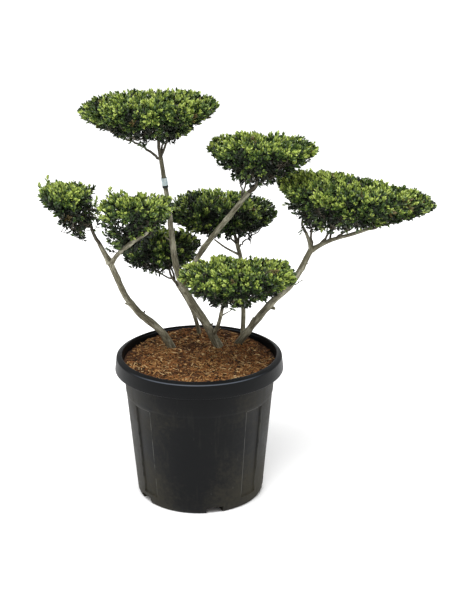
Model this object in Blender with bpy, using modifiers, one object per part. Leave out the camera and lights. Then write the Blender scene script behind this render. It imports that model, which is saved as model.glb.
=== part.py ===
"""A cloud-pruned Japanese holly in a black nursery pot, about 1.15 m tall.

Five bare stems rise from the mulch and carry eight clipped pads of foliage. Each pad is one solid:
a core, the twigs that branch from the pad's own stem, and the leafy shoots that stand out of it.
The origin is the centre of the pot's flat underside, +Z is up, and the photo looks along +Y.
"""

import math
import random

import bmesh
import bpy
from mathutils import Matrix, Vector

MM = 0.001
GAP = 0.4 * MM  # air between two pieces that touch in the real plant

# Pot
POT_HEIGHT = 0.410
RIM_RADIUS = 0.230
RIM_BAND_HEIGHT = 0.044
RIM_LIP_WIDTH = 0.016
LIP_RISE = 0.005  # the lip slopes up from its outer edge
COLLAR_RADIUS = 0.2105
COLLAR_BOTTOM = 0.300
WALL_TOP_RADIUS = 0.2045
WALL_FOOT_RADIUS = 0.1800
BASE_RADIUS = 0.172
CORNER_HEIGHT = 0.028
WALL_THICKNESS = 0.009
FLOOR_THICKNESS = 0.015
POT_SEGMENTS = 40
GROOVE_DEPTH = 0.0045
GROOVE_ANGLES = ((49, 17), (90, 16), (128, 16))  # middle and width in degrees, on both sides
NOTCH_COUNT = 5
NOTCH_FIRST = math.radians(14.5)
NOTCH_WIDTH = math.radians(15)
NOTCH_HEIGHT = 0.018
NOTCH_DEPTH = 0.036

# Ground inside the pot
GROUND = 0.388
STEM_FOOT = GROUND + GAP

# Foliage
LEAF_LENGTH = 0.040
LEAF_WIDTH = 0.023
LEAF_THICKNESS = 0.0028
SHOOT_RADIUS = 0.0024
RIB_RADIUS = 0.0040
CORE_SIDE = 0.016  # how far a pad's core lies inside its outline
CORE_TOP = 0.013
CORE_UNDER = 0.014
LEAF_REACH = 0.004  # how far a leaf's tip may stand past the outline
CORE_CLEARANCE = 0.003  # air round a limb that runs through a core
DOME_FLATNESS = 3.4  # 2 is a ball's top, more is flatter with a rounder edge
LEAVES_ON_SHOOT = 4
LEAF_SPACING = 0.010  # from a shoot's middle to the feet of the leaves round it
SHOOTS_PER_SQUARE_METRE = 240  # of the pad's plan
RIBS = 6
PAD_SOLVER = "EXACT"
GOLDEN_ANGLE = math.pi * (3 - math.sqrt(5))

# Each limb: the points its middle runs through, its radius at foot and tip, how far its foot
# flares, and the limbs that it meets. The points are metres in the plant's frame.
LIMBS = {
    "stem_left": dict(
        path=[(-0.079, 0.079, STEM_FOOT), (-0.101, 0.063, 0.437), (-0.130, 0.050, 0.474), (-0.162, 0.036, 0.506),
              (-0.187, 0.023, 0.543), (-0.206, 0.011, 0.580), (-0.238, -0.020, 0.677)],
        radii=(0.0118, 0.0084), flare=0.30, meets=[]),
    "stem_middle": dict(
        path=[(0.054, 0.091, STEM_FOOT), (0.012, 0.062, 0.480), (-0.045, 0.060, 0.580), (-0.068, 0.060, 0.668),
              (-0.079, 0.050, 0.795), (-0.099, 0.035, 0.953)],
        radii=(0.0140, 0.0058), flare=0.35, meets=[]),
    "stem_right": dict(
        path=[(0.106, 0.116, STEM_FOOT), (0.191, 0.064, 0.521), (0.257, 0.045, 0.597), (0.310, 0.030, 0.703)],
        radii=(0.0115, 0.0080), flare=0.30, meets=[]),
    "stem_back": dict(
        path=[(0.121, 0.158, STEM_FOOT), (0.123, 0.180, 0.476), (0.118, 0.220, 0.593), (0.105, 0.240, 0.652)],
        radii=(0.0072, 0.0062), flare=0.25, meets=[]),
    "stem_slender": dict(
        path=[(-0.002, 0.178, STEM_FOOT), (-0.024, 0.148, 0.482), (-0.066, 0.152, 0.556)],
        radii=(0.0066, 0.0048), flare=0.25, meets=[]),
    "bough_outer_left": dict(
        path=[(-0.238, -0.020, 0.677), (-0.252, -0.023, 0.704), (-0.264, -0.025, 0.730)],
        radii=(0.0076, 0.0058), flare=0, meets=["stem_left"]),
    "bough_inner_left": dict(
        path=[(-0.236, -0.018, 0.671), (-0.212, -0.062, 0.712), (-0.168, -0.114, 0.761), (-0.131, -0.128, 0.790),
              (-0.124, -0.125, 0.804)],
        radii=(0.0064, 0.0046), flare=0, meets=["stem_left", "bough_outer_left"]),
    "bough_low": dict(
        path=[(0.037, 0.080, 0.430), (0.053, 0.030, 0.480), (0.064, -0.030, 0.545)],
        radii=(0.0060, 0.0050), flare=0, meets=["stem_middle"]),
    "bough_upper_right": dict(
        path=[(-0.046, 0.061, 0.585), (0.010, 0.042, 0.692), (0.082, 0.020, 0.792), (0.137, 0.002, 0.866)],
        radii=(0.0078, 0.0066), flare=0, meets=["stem_middle"]),
    "bough_back_side": dict(
        path=[(0.114, 0.228, 0.620), (0.072, 0.221, 0.645), (0.040, 0.212, 0.672)],
        radii=(0.0032, 0.0024), flare=0, meets=["stem_back"]),
    "bough_inner_right": dict(
        path=[(0.307, 0.030, 0.700), (0.300, 0.030, 0.724), (0.292, 0.030, 0.746)],
        radii=(0.0050, 0.0042), flare=0, meets=["stem_right"]),
    "bough_outer_right": dict(
        path=[(0.308, 0.031, 0.697), (0.357, 0.020, 0.726), (0.410, 0.008, 0.746), (0.462, -0.002, 0.766)],
        radii=(0.0064, 0.0042), flare=0, meets=["stem_right", "bough_inner_right"]),
}

# Each pad: the middle of its widest level, half its width and depth, how far it domes up and
# tapers down, how much its level falls per metre to the right, how full its underside is
# (1 is a cone, 2 a bowl), the limb it grows from, where its underside is lowest, and where its
# own stem ends inside it.
PADS = {
    "pad_top_left": dict(
        middle=(-0.127, 0.020, 1.084), half=(0.191, 0.152), rise=0.050, drop=0.112, fall=-0.03, bowl=1.6,
        limb="stem_middle", keel=(-0.120, 0.033), hub=(-0.104, 0.033), seed=11),
    "pad_outer_left": dict(
        middle=(-0.342, -0.030, 0.862), half=(0.083, 0.098), rise=0.047, drop=0.130, fall=0.06, bowl=1.6,
        limb="bough_outer_left", keel=(-0.275, -0.027), hub=(-0.292, -0.028), seed=12),
    "pad_inner_left": dict(
        middle=(-0.152, -0.090, 0.850), half=(0.104, 0.100), rise=0.044, drop=0.140, fall=0.00, bowl=2.0,
        limb="bough_inner_left", keel=(-0.222, -0.045), hub=(-0.136, -0.090), seed=13),
    "pad_low_left": dict(
        middle=(-0.120, 0.205, 0.656), half=(0.127, 0.108), rise=0.046, drop=0.080, fall=0.00, bowl=3.0,
        limb="stem_slender", keel=(-0.100, 0.185), hub=(-0.100, 0.190), seed=14),
    "pad_back": dict(
        middle=(0.059, 0.270, 0.736), half=(0.162, 0.132), rise=0.068, drop=0.078, fall=0.00, bowl=2.3,
        limb="stem_back", keel=(0.096, 0.248), hub=(0.092, 0.252), seed=15),
    "pad_upper_right": dict(
        middle=(0.174, 0.000, 0.984), half=(0.150, 0.124), rise=0.045, drop=0.108, fall=0.01, bowl=2.0,
        limb="bough_upper_right", keel=(0.145, 0.000), hub=(0.158, 0.000), seed=16),
    "pad_right": dict(
        middle=(0.421, 0.020, 0.858), half=(0.223, 0.160), rise=0.040, drop=0.132, fall=0.150, bowl=1.75,
        limb="bough_inner_right", keel=(0.300, 0.028), hub=(0.300, 0.028), seed=17),
    "pad_low_front": dict(
        middle=(0.109, -0.094, 0.666), half=(0.166, 0.128), rise=0.043, drop=0.104, fall=-0.02, bowl=2.1,
        limb="bough_low", keel=(0.084, -0.060), hub=(0.086, -0.070), seed=18),
}

# Blank label wrapped round the middle stem, and the dark tie under it
LABEL_LEVEL = 0.886
LABEL_HEIGHT = 0.021
LABEL_RADIUS = 0.0086
TIE_LEVEL = 0.871
TIE_HEIGHT = 0.005
TIE_RADIUS = 0.0084
BAND_WALL = 0.0012

COLOURS = {  # base colour, roughness
    "pot": ((0.018, 0.019, 0.021), 0.42),
    "compost": ((0.115, 0.048, 0.020), 0.95),
    "bark": ((0.155, 0.135, 0.098), 0.80),
    "foliage": ((0.042, 0.095, 0.018), 0.45),
    "label": ((0.72, 0.80, 0.80), 0.40),
    "tie": ((0.010, 0.011, 0.012), 0.50),
}


# Small helpers

def clear_scene():
    for obj in list(bpy.data.objects):
        bpy.data.objects.remove(obj)


def new_collection(name):
    made = bpy.data.collections.new(name)
    bpy.context.scene.collection.children.link(made)
    return made


def material(name):
    found = bpy.data.materials.get(name)
    if found:
        return found
    colour, roughness = COLOURS[name]
    made = bpy.data.materials.new(name)
    made.use_nodes = True
    shader = made.node_tree.nodes["Principled BSDF"]
    shader.inputs["Base Color"].default_value = (*colour, 1)
    shader.inputs["Roughness"].default_value = roughness
    made.diffuse_color = (*colour, 1)
    return made


def object_from(bm, name, collection, finish=None):
    """A mesh object made from a bmesh, with its normals facing out."""
    bmesh.ops.recalc_face_normals(bm, faces=bm.faces)
    mesh = bpy.data.meshes.new(name)
    bm.to_mesh(mesh)
    bm.free()
    obj = bpy.data.objects.new(name, mesh)
    collection.objects.link(obj)
    if finish:
        mesh.materials.append(material(finish))
    return obj


def smooth_shading(obj, angle_deg=35):
    obj.data.shade_smooth()
    obj.data.set_sharp_from_angle(angle=math.radians(angle_deg))


def bake_modifiers(obj):
    """Replaces an object's mesh by what its modifiers make of it."""
    graph = bpy.context.evaluated_depsgraph_get()
    mesh = bpy.data.meshes.new_from_object(obj.evaluated_get(graph))
    obj.modifiers.clear()
    obj.data = mesh


def cut(obj, cutters, solver="EXACT"):
    """Takes the cutters away from obj, and drops them."""
    for cutter in cutters:
        step = obj.modifiers.new("cut", "BOOLEAN")
        step.operation = "DIFFERENCE"
        step.solver = solver
        step.object = cutter
        bake_modifiers(obj)
        bpy.data.objects.remove(cutter)


def islands(bm):
    """The separate shells of a bmesh, each a list of faces."""
    left = set(bm.faces)
    found = []
    while left:
        reach = [left.pop()]
        shell = list(reach)
        while reach:
            for edge in reach.pop().edges:
                for face in edge.link_faces:
                    if face in left:
                        left.remove(face)
                        reach.append(face)
                        shell.append(face)
        found.append(shell)
    return found


def shell_volume(faces):
    total = 0.0
    for face in faces:
        corners = [loop.vert.co for loop in face.loops]
        for second, third in zip(corners[1:], corners[2:]):
            total += corners[0].dot(second.cross(third)) / 6
    return total


def keep_largest_shell(obj):
    """Drops loose scraps and fills hollows that a Boolean has sealed."""
    bm = bmesh.new()
    bm.from_mesh(obj.data)
    bmesh.ops.triangulate(bm, faces=bm.faces)
    shells = sorted(islands(bm), key=shell_volume)
    for shell in shells[:-1]:
        bmesh.ops.delete(bm, geom=shell, context="FACES")
    loose = [vert for vert in bm.verts if not vert.link_faces]
    bmesh.ops.delete(bm, geom=loose, context="VERTS")
    bm.to_mesh(obj.data)
    bm.free()


# Pot and compost

def turned(name, profile, collection, finish):
    """A solid of revolution. The profile runs from the axis, round the outside and back to it."""
    bm = bmesh.new()
    verts = [bm.verts.new((radius, 0, height)) for radius, height in profile]
    for first, second in zip(verts, verts[1:]):
        bm.edges.new((first, second))
    mesh = bpy.data.meshes.new(name)
    bm.to_mesh(mesh)
    bm.free()
    obj = bpy.data.objects.new(name, mesh)
    collection.objects.link(obj)
    screw = obj.modifiers.new("turn", "SCREW")
    screw.steps = screw.render_steps = POT_SEGMENTS
    screw.use_merge_vertices = True
    screw.merge_threshold = 0.0001
    screw.use_smooth_shade = False
    bake_modifiers(obj)
    bm = bmesh.new()
    bm.from_mesh(obj.data)
    bmesh.ops.recalc_face_normals(bm, faces=bm.faces)
    bm.to_mesh(obj.data)
    bm.free()
    obj.data.materials.append(material(finish))
    return obj


def arc_points(centre, radius, start_deg, end_deg, count):
    """Points on an arc in the profile's plane, as (distance from the axis, height)."""
    found = []
    for step in range(count + 1):
        angle = math.radians(start_deg + (end_deg - start_deg) * step / count)
        found.append((centre[0] + radius * math.cos(angle), centre[1] + radius * math.sin(angle)))
    return found


def wall_radius(height):
    """Outer radius of the tapering wall between its corner and its collar."""
    share = (height - CORNER_HEIGHT) / (COLLAR_BOTTOM - CORNER_HEIGHT)
    return WALL_FOOT_RADIUS + (WALL_TOP_RADIUS - WALL_FOOT_RADIUS) * share


def inner_profile(inset=0.0):
    """The pot's inside from its floor up to the lip, moved in by inset."""
    lip_inner = RIM_RADIUS - RIM_LIP_WIDTH
    rim_foot = POT_HEIGHT - RIM_BAND_HEIGHT
    return [
        (wall_radius(FLOOR_THICKNESS) - WALL_THICKNESS - 0.003 - inset, FLOOR_THICKNESS + inset),
        (wall_radius(COLLAR_BOTTOM) - WALL_THICKNESS - inset, COLLAR_BOTTOM),
        (COLLAR_RADIUS - 0.005 - inset, rim_foot),
        (lip_inner - 0.003 - inset, GROUND - 0.003),
        (lip_inner - inset, POT_HEIGHT),
    ]


def make_pot(collection, cutters):
    rim_foot = POT_HEIGHT - RIM_BAND_HEIGHT
    corner = RIM_RADIUS - 0.004
    outside = [
        (0, 0),
        (BASE_RADIUS, 0),
        (BASE_RADIUS + 0.0040, 0.003),
        (BASE_RADIUS + 0.0062, 0.010),
        (WALL_FOOT_RADIUS, CORNER_HEIGHT),
        (WALL_TOP_RADIUS, COLLAR_BOTTOM),
        (WALL_TOP_RADIUS + 0.0022, COLLAR_BOTTOM + 0.002),
        (COLLAR_RADIUS, rim_foot + 0.004),
        (RIM_RADIUS + 0.0020, rim_foot),
        (RIM_RADIUS + 0.0040, rim_foot + 0.002),
        (RIM_RADIUS + 0.0030, rim_foot + 0.012),
        *arc_points((corner, POT_HEIGHT - LIP_RISE - 0.004), 0.004, 0, 90, 2),
    ]
    inside = list(reversed(inner_profile()))
    pot = turned("pot", outside + inside + [(0, FLOOR_THICKNESS)], collection, "pot")
    tools = []
    for middle_deg, width_deg in GROOVE_ANGLES:
        for side in (-1, 1):
            angle = side * math.radians(middle_deg)
            tools.append(groove_cutter(angle, math.radians(width_deg), cutters))
    for number in range(NOTCH_COUNT):
        angle = NOTCH_FIRST + 2 * math.pi * number / NOTCH_COUNT
        tools.append(notch_cutter(angle, cutters))
    cut(pot, tools)
    smooth_shading(pot, 28)
    return pot


def around(angle, radius, height):
    """A point at an angle from the pot's front (-Y), counted towards +X."""
    return Vector((radius * math.sin(angle), -radius * math.cos(angle), height))


def wedge(name, sections, half_width, collection):
    """A closed block swept between two angles. Each section is (inner radius, outer radius, height)."""
    bm = bmesh.new()
    rings = []
    for angle in (-half_width, half_width):
        ring = [around(angle, inner, height) for inner, outer, height in sections]
        ring += [around(angle, outer, height) for inner, outer, height in reversed(sections)]
        rings.append([bm.verts.new(point) for point in ring])
    bm.faces.new(rings[0])
    bm.faces.new(rings[1])
    count = len(rings[0])
    for first in range(count):
        second = (first + 1) % count
        bm.faces.new((rings[0][first], rings[0][second], rings[1][second], rings[1][first]))
    return object_from(bm, name, collection)


def groove_cutter(angle, width, collection):
    """Cuts one upright recessed strip, from under the collar until the wall turns under the pot."""
    low, high = NOTCH_HEIGHT + 0.006, COLLAR_BOTTOM - 0.003
    outer = RIM_RADIUS
    sections = [
        (wall_radius(low) - GROOVE_DEPTH, outer, low),
        (wall_radius(high) - GROOVE_DEPTH, outer, high),
    ]
    cutter = wedge("groove_cutter", sections, width / 2, collection)
    cutter.rotation_euler.z = angle
    return cutter


def notch_cutter(angle, collection):
    """Cuts one drainage notch out of the pot's bottom edge."""
    inner = BASE_RADIUS - NOTCH_DEPTH
    outer = RIM_RADIUS
    sections = [(inner, outer, -0.01), (inner, outer, NOTCH_HEIGHT)]
    cutter = wedge("notch_cutter", sections, NOTCH_WIDTH / 2, collection)
    cutter.rotation_euler.z = angle
    return cutter


def make_compost(collection):
    wall = inner_profile(inset=GAP)
    profile = [(0, FLOOR_THICKNESS + GAP), *wall[:-1]]
    edge_radius = wall[-2][0] + 0.0004
    profile += [(edge_radius, GROUND), (0, GROUND)]
    compost = turned("compost", profile, collection, "compost")
    smooth_shading(compost)
    return compost


# Limbs

def catmull(points, steps):
    """A smooth line through the points, as a list of vectors, with this many steps to a span."""
    knots = [Vector(point) for point in points]
    knots = [2 * knots[0] - knots[1]] + knots + [2 * knots[-1] - knots[-2]]
    found = []
    for before, start, end, after in zip(knots, knots[1:], knots[2:], knots[3:]):
        for step in range(steps):
            t = step / steps
            found.append(0.5 * (
                2 * start + (end - before) * t
                + (2 * before - 5 * start + 4 * end - after) * t * t
                + (3 * start - before - 3 * end + after) * t * t * t))
    found.append(knots[-2])
    return found


def limb_line(name):
    """The limb's middle line with the radius at each point."""
    limb = LIMBS[name]
    line = catmull(limb["path"], 3)
    foot, tip = limb["radii"]
    found = []
    for number, point in enumerate(line):
        share = number / (len(line) - 1)
        radius = foot + (tip - foot) * share
        radius *= 1 + limb["flare"] * math.exp(-share * 14)
        found.append((point, radius))
    return found


def tube(name, line, collection, sides=8, finish=None):
    """A closed tapering tube along a line of (point, radius)."""
    curve = bpy.data.curves.new(name, "CURVE")
    curve.dimensions = "3D"
    curve.bevel_depth = 1.0
    curve.bevel_resolution = (sides - 4) // 2
    curve.use_fill_caps = True
    curve.twist_mode = "MINIMUM"
    spline = curve.splines.new("POLY")
    spline.points.add(len(line) - 1)
    for spot, (point, radius) in zip(spline.points, line):
        spot.co = (*point, 1)
        spot.radius = radius
    source = bpy.data.objects.new(name + "_curve", curve)
    collection.objects.link(source)
    graph = bpy.context.evaluated_depsgraph_get()
    mesh = bpy.data.meshes.new_from_object(source.evaluated_get(graph))
    bpy.data.objects.remove(source)
    bm = bmesh.new()
    bm.from_mesh(mesh)
    bpy.data.meshes.remove(mesh)
    bmesh.ops.remove_doubles(bm, verts=bm.verts, dist=0.00001)
    return object_from(bm, name, collection, finish)


def extended(line, foot=0.0, tip=0.0, swell=0.0):
    """The line made longer at its ends and fatter by swell."""
    points = [point for point, radius in line]
    radii = [radius + swell for point, radius in line]
    points[0] = points[0] - (points[1] - points[0]).normalized() * foot
    points[-1] = points[-1] + (points[-1] - points[-2]).normalized() * tip
    return list(zip(points, radii))


def level_cut(obj, height):
    """Cuts the foot off flat at this height."""
    bm = bmesh.new()
    bm.from_mesh(obj.data)
    everything = list(bm.verts) + list(bm.edges) + list(bm.faces)
    bmesh.ops.bisect_plane(
        bm, geom=everything, plane_co=(0, 0, height), plane_no=(0, 0, 1), clear_inner=True)
    rim = [edge for edge in bm.edges if edge.is_boundary]
    bmesh.ops.contextual_create(bm, geom=rim)
    bmesh.ops.recalc_face_normals(bm, faces=bm.faces)
    bm.to_mesh(obj.data)
    bm.free()


def make_limb(name, collection, cutters):
    line = limb_line(name)
    rooted = name.startswith("stem")
    if rooted:
        line = extended(line, foot=0.02)
    limb = tube(name, line, collection, finish="bark")
    if rooted:
        level_cut(limb, STEM_FOOT)
    tools = []
    for other in LIMBS[name]["meets"]:
        grown = extended(limb_line(other), foot=GAP, tip=GAP, swell=GAP)
        tools.append(tube(other + "_cutter", grown, cutters))
    cut(limb, tools)
    keep_largest_shell(limb)
    smooth_shading(limb, 50)
    return limb


def make_band(name, level, height, radius, finish, collection):
    """A thin ring round the middle stem at this level."""
    line = limb_line("stem_middle")
    below, above = next(
        (first[0], second[0]) for first, second in zip(line, line[1:]) if second[0].z > level)
    along = (above - below).normalized()
    middle = below + along * ((level - below.z) / along.z)
    bm = bmesh.new()
    profile = [
        (radius - BAND_WALL, -height / 2), (radius, -height / 2),
        (radius, height / 2), (radius - BAND_WALL, height / 2)]
    verts = [bm.verts.new((distance, 0, rise)) for distance, rise in profile]
    edges = [bm.edges.new((verts[n], verts[(n + 1) % 4])) for n in range(4)]
    bmesh.ops.spin(
        bm, geom=verts + edges, axis=(0, 0, 1), cent=(0, 0, 0), angle=2 * math.pi, steps=16, use_merge=True)
    bmesh.ops.remove_doubles(bm, verts=bm.verts, dist=0.00001)
    turn = along.to_track_quat("Z", "Y").to_matrix().to_4x4()
    bmesh.ops.transform(bm, matrix=Matrix.Translation(middle) @ turn, verts=bm.verts)
    band = object_from(bm, name, collection, finish)
    smooth_shading(band)
    return band


# Pads of foliage

def outline_share(pad, angle):
    """How far the pad's outline stands at this angle, against its plain ellipse."""
    seed = pad["seed"]
    return 1.0 + 0.016 * math.sin(2 * angle + seed) + 0.014 * math.sin(3 * angle + 2.3 * seed)


def way_out(x, y, keel_x, keel_y):
    """How far (x, y) lies on the way from the keel to the unit circle, from 0 to 1."""
    dx, dy = x - keel_x, y - keel_y
    square = dx * dx + dy * dy
    if square < 1e-9:
        return 0.0
    slope = keel_x * dx + keel_y * dy
    left = keel_x * keel_x + keel_y * keel_y - 1
    return min(1.0, square / (-slope + math.sqrt(max(0.0, slope * slope - square * left))))


def pad_point(pad, x, y, up, depth=0.0):
    """A point on the pad's surface over (x, y) in the unit circle of its plan.

    up picks the dome or the underside, and depth 1 is the surface of the core inside.
    """
    middle = Vector(pad["middle"])
    half_x = pad["half"][0] - CORE_SIDE * depth
    half_y = pad["half"][1] - CORE_SIDE * depth
    bulge = outline_share(pad, math.atan2(y, x))
    point = middle + Vector((x * half_x * bulge, y * half_y * bulge, 0))
    if up:
        spread = min(1.0, math.hypot(x, y))
        point.z += (pad["rise"] - CORE_TOP * depth) * (1 - spread ** DOME_FLATNESS) ** 0.5
    else:
        keel_x = (pad["keel"][0] - middle.x) / pad["half"][0]
        keel_y = (pad["keel"][1] - middle.y) / pad["half"][1]
        share = way_out(x, y, keel_x, keel_y)
        point.z -= (pad["drop"] - CORE_UNDER * depth) * (1 - share ** pad["bowl"])
    point.z -= pad["fall"] * (point.x - middle.x)
    return point


def inside_pad(pad, point, depth=0.0, room=0.0):
    """True if a point lies within the pad, or its core at depth 1, or within room below or above."""
    middle = Vector(pad["middle"])
    x = (point.x - middle.x) / (pad["half"][0] - CORE_SIDE * depth + room)
    y = (point.y - middle.y) / (pad["half"][1] - CORE_SIDE * depth + room)
    bulge = outline_share(pad, math.atan2(y, x))
    x, y = x / bulge, y / bulge
    if math.hypot(x, y) > 1:
        return False
    low = pad_point(pad, x, y, False, depth).z - room
    return low < point.z < pad_point(pad, x, y, True, depth).z + room


def pad_core(pad, name, collection):
    """The dense inside of a clipped pad: a ball drawn out to the pad's shape."""
    bm = bmesh.new()
    bmesh.ops.create_uvsphere(bm, u_segments=14, v_segments=8, radius=1)
    for vert in bm.verts:
        x, y, z = vert.co
        vert.co = pad_point(pad, x, y, z >= -0.01, 1.0)
    return object_from(bm, name, collection, "foliage")


def spike(start, end, foot_radius, tip_radius, collection, sides=3):
    """A straight tapering twig."""
    along = end - start
    bm = bmesh.new()
    bmesh.ops.create_cone(
        bm, cap_ends=True, segments=sides, radius1=foot_radius, radius2=tip_radius, depth=along.length)
    turn = along.to_track_quat("Z", "Y").to_matrix().to_4x4()
    bmesh.ops.transform(bm, matrix=Matrix.Translation((start + end) / 2) @ turn, verts=bm.verts)
    return object_from(bm, "twig", collection)


def leaf(foot, tip, face, collection):
    """A flat pointed leaf of eight faces, widest past its middle."""
    along = (tip - foot).normalized()
    side = along.cross(face).normalized()
    up = side.cross(along)
    length = (tip - foot).length
    widest = foot.lerp(tip, 0.60)
    half = side * LEAF_WIDTH / 2 * min(1.0, length / LEAF_LENGTH + 0.1)
    bm = bmesh.new()
    rim = [bm.verts.new(point) for point in (foot, widest + half, tip, widest - half)]
    for thick in (LEAF_THICKNESS / 2, -LEAF_THICKNESS / 2):
        ridge = bm.verts.new(foot.lerp(tip, 0.5) + up * thick)
        for number in range(4):
            bm.faces.new((rim[number], rim[(number + 1) % 4], ridge))
    return object_from(bm, "leaf", collection)


def limb_distance(point, lines):
    """How far a point is from the nearest limb's bark."""
    nearest = 1.0
    for line in lines:
        for (start, radius), (end, _) in zip(line, line[1:]):
            along = end - start
            share = max(0.0, min(1.0, (point - start).dot(along) / along.length_squared))
            nearest = min(nearest, (start + along * share - point).length - radius)
    return nearest


def clear_of_limbs(start, end, lines, room):
    return all(limb_distance(start.lerp(end, share), lines) > room for share in (0.0, 0.35, 0.7, 1.0))


def runs_through(pad, line):
    """True if a limb comes closer to the pad's core than the air it needs."""
    return any(inside_pad(pad, point, 1.0, radius + 1.5 * CORE_CLEARANCE) for point, radius in line)


def grow_ribs(pad, start, lines, dice, parts):
    """The pad's stem, from just past its limb's tip, and the ribs that fan out under the core."""
    (before, _), (tip, tip_radius) = lines[pad["limb"]][-2:]
    ahead = (tip - before).normalized()
    middle = Vector(pad["middle"])
    hub = Vector((*pad["hub"], middle.z - 0.15 * pad["drop"]))
    bend = start + ahead * 0.35 * (hub - start).length
    tube("pad_stem", [(start, tip_radius * 0.95), (bend, tip_radius * 0.85), (hub, tip_radius * 0.6)],
         parts, sides=6)
    others = [line for name, line in lines.items() if name != pad["limb"]]
    own = [lines[pad["limb"]]]
    for number in range(RIBS):
        angle = 2 * math.pi * (number + dice.uniform(-0.2, 0.2)) / RIBS
        x, y = math.cos(angle), math.sin(angle)
        near = pad_point(pad, 0.40 * x, 0.40 * y, False, 0.4)
        far = pad_point(pad, 0.78 * x, 0.78 * y, False, 0.6)
        fork = start.lerp(bend, dice.uniform(0.6, 1.0))
        fits = clear_of_limbs(fork, near, others, 2 * RIB_RADIUS)
        if not fits or not clear_of_limbs(fork, near, own, 1.5 * RIB_RADIUS):
            continue
        spike(fork, near, RIB_RADIUS, RIB_RADIUS * 0.75, parts)
        if clear_of_limbs(near, far, others + own, 2 * RIB_RADIUS):
            overlap = (far - near).normalized() * RIB_RADIUS
            spike(near - overlap, far, RIB_RADIUS * 0.75, RIB_RADIUS * 0.5, parts)


def grow_shoot(pad, x, y, up, lines, dice, parts):
    """One short leafy shoot that stands out of the core at (x, y) in the pad's plan."""
    surface = pad_point(pad, x, y, up)
    core = pad_point(pad, x, y, up, 1.0)
    outward = (surface - core).normalized()
    inner = core - outward * 0.010
    top = core.lerp(surface, 0.5)
    if not clear_of_limbs(inner, surface, lines, 0.006):
        return
    spike(inner, top + outward * 0.004, SHOOT_RADIUS, SHOOT_RADIUS * 0.6, parts)
    across = outward.orthogonal().normalized()
    turn = dice.uniform(0, 2 * math.pi)
    for number in range(LEAVES_ON_SHOOT):
        spin = Matrix.Rotation(turn + number * 2 * math.pi / (LEAVES_ON_SHOOT - 1), 3, outward)
        if number == 0:
            foot = top - outward * 0.004
            lean = outward + across * dice.uniform(-1.2, 1.2)
        else:
            foot = core - outward * 0.007 + (spin @ across) * LEAF_SPACING
            lean = outward * dice.uniform(0.5, 1.0) + spin @ across
        tip = foot + lean.normalized() * LEAF_LENGTH * dice.uniform(0.9, 1.1)
        for _ in range(12):
            if inside_pad(pad, tip, room=LEAF_REACH):
                break
            tip = tip.lerp(core, 0.06)
        if (tip - foot).length < 0.5 * LEAF_LENGTH:
            continue
        if clear_of_limbs(foot, tip, lines, 0.011):
            leaf(foot, tip, outward + across * dice.uniform(-0.6, 0.6), parts)


def make_pad(name, collection, parts, lines):
    pad = PADS[name]
    dice = random.Random(pad["seed"])
    body = pad_core(pad, name, collection)
    in_the_way = [line for line in lines.values() if runs_through(pad, line)]
    cut(body, [tube("limb_room", extended(line, tip=CORE_CLEARANCE, swell=CORE_CLEARANCE), parts)
               for line in in_the_way])
    (before, _), (tip, _) = lines[pad["limb"]][-2:]
    grow_ribs(pad, tip + (tip - before).normalized() * GAP, lines, dice, parts)
    half_x, half_y = pad["half"]
    count = round(math.pi * half_x * half_y * SHOOTS_PER_SQUARE_METRE)
    for number in range(count):
        height = 1 - 2 * (number + 0.5) / count
        spread = math.sqrt(1 - height * height)
        angle = number * GOLDEN_ANGLE
        grow_shoot(pad, spread * math.cos(angle), spread * math.sin(angle), height > 0,
                   lines.values(), dice, parts)
    join = body.modifiers.new("join", "BOOLEAN")
    join.operation = "UNION"
    join.operand_type = "COLLECTION"
    join.collection = parts
    join.solver = PAD_SOLVER
    bake_modifiers(body)
    for part in list(parts.objects):
        bpy.data.objects.remove(part)
    keep_largest_shell(body)
    body.data.shade_flat()
    return body


def main():
    clear_scene()
    plant = new_collection("potted_japanese_holly")
    cutters = new_collection("cutters")
    parts = new_collection("foliage_parts")
    make_pot(plant, cutters)
    make_compost(plant)
    for name in LIMBS:
        make_limb(name, plant, cutters)
    make_band("label_wrap", LABEL_LEVEL, LABEL_HEIGHT, LABEL_RADIUS, "label", plant)
    make_band("label_tie", TIE_LEVEL, TIE_HEIGHT, TIE_RADIUS, "tie", plant)
    lines = {name: limb_line(name) for name in LIMBS}
    for name in PADS:
        make_pad(name, plant, parts, lines)


main()
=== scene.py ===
# %% [markdown]
# This lesson dresses a cloud-pruned Japanese holly in its black nursery pot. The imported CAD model
# is the frame: every size and place below is in metres in the same axes, with the origin in the
# middle of the pot's underside. The plant is bare crooked stems that carry eight clipped pads of
# small glossy leaves, so the leaves and twigs are grown by rule and the rest is modelled.

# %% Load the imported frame
import math
import random

import bmesh
import bpy
import numpy as np
from mathutils import Matrix, Vector, noise


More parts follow.
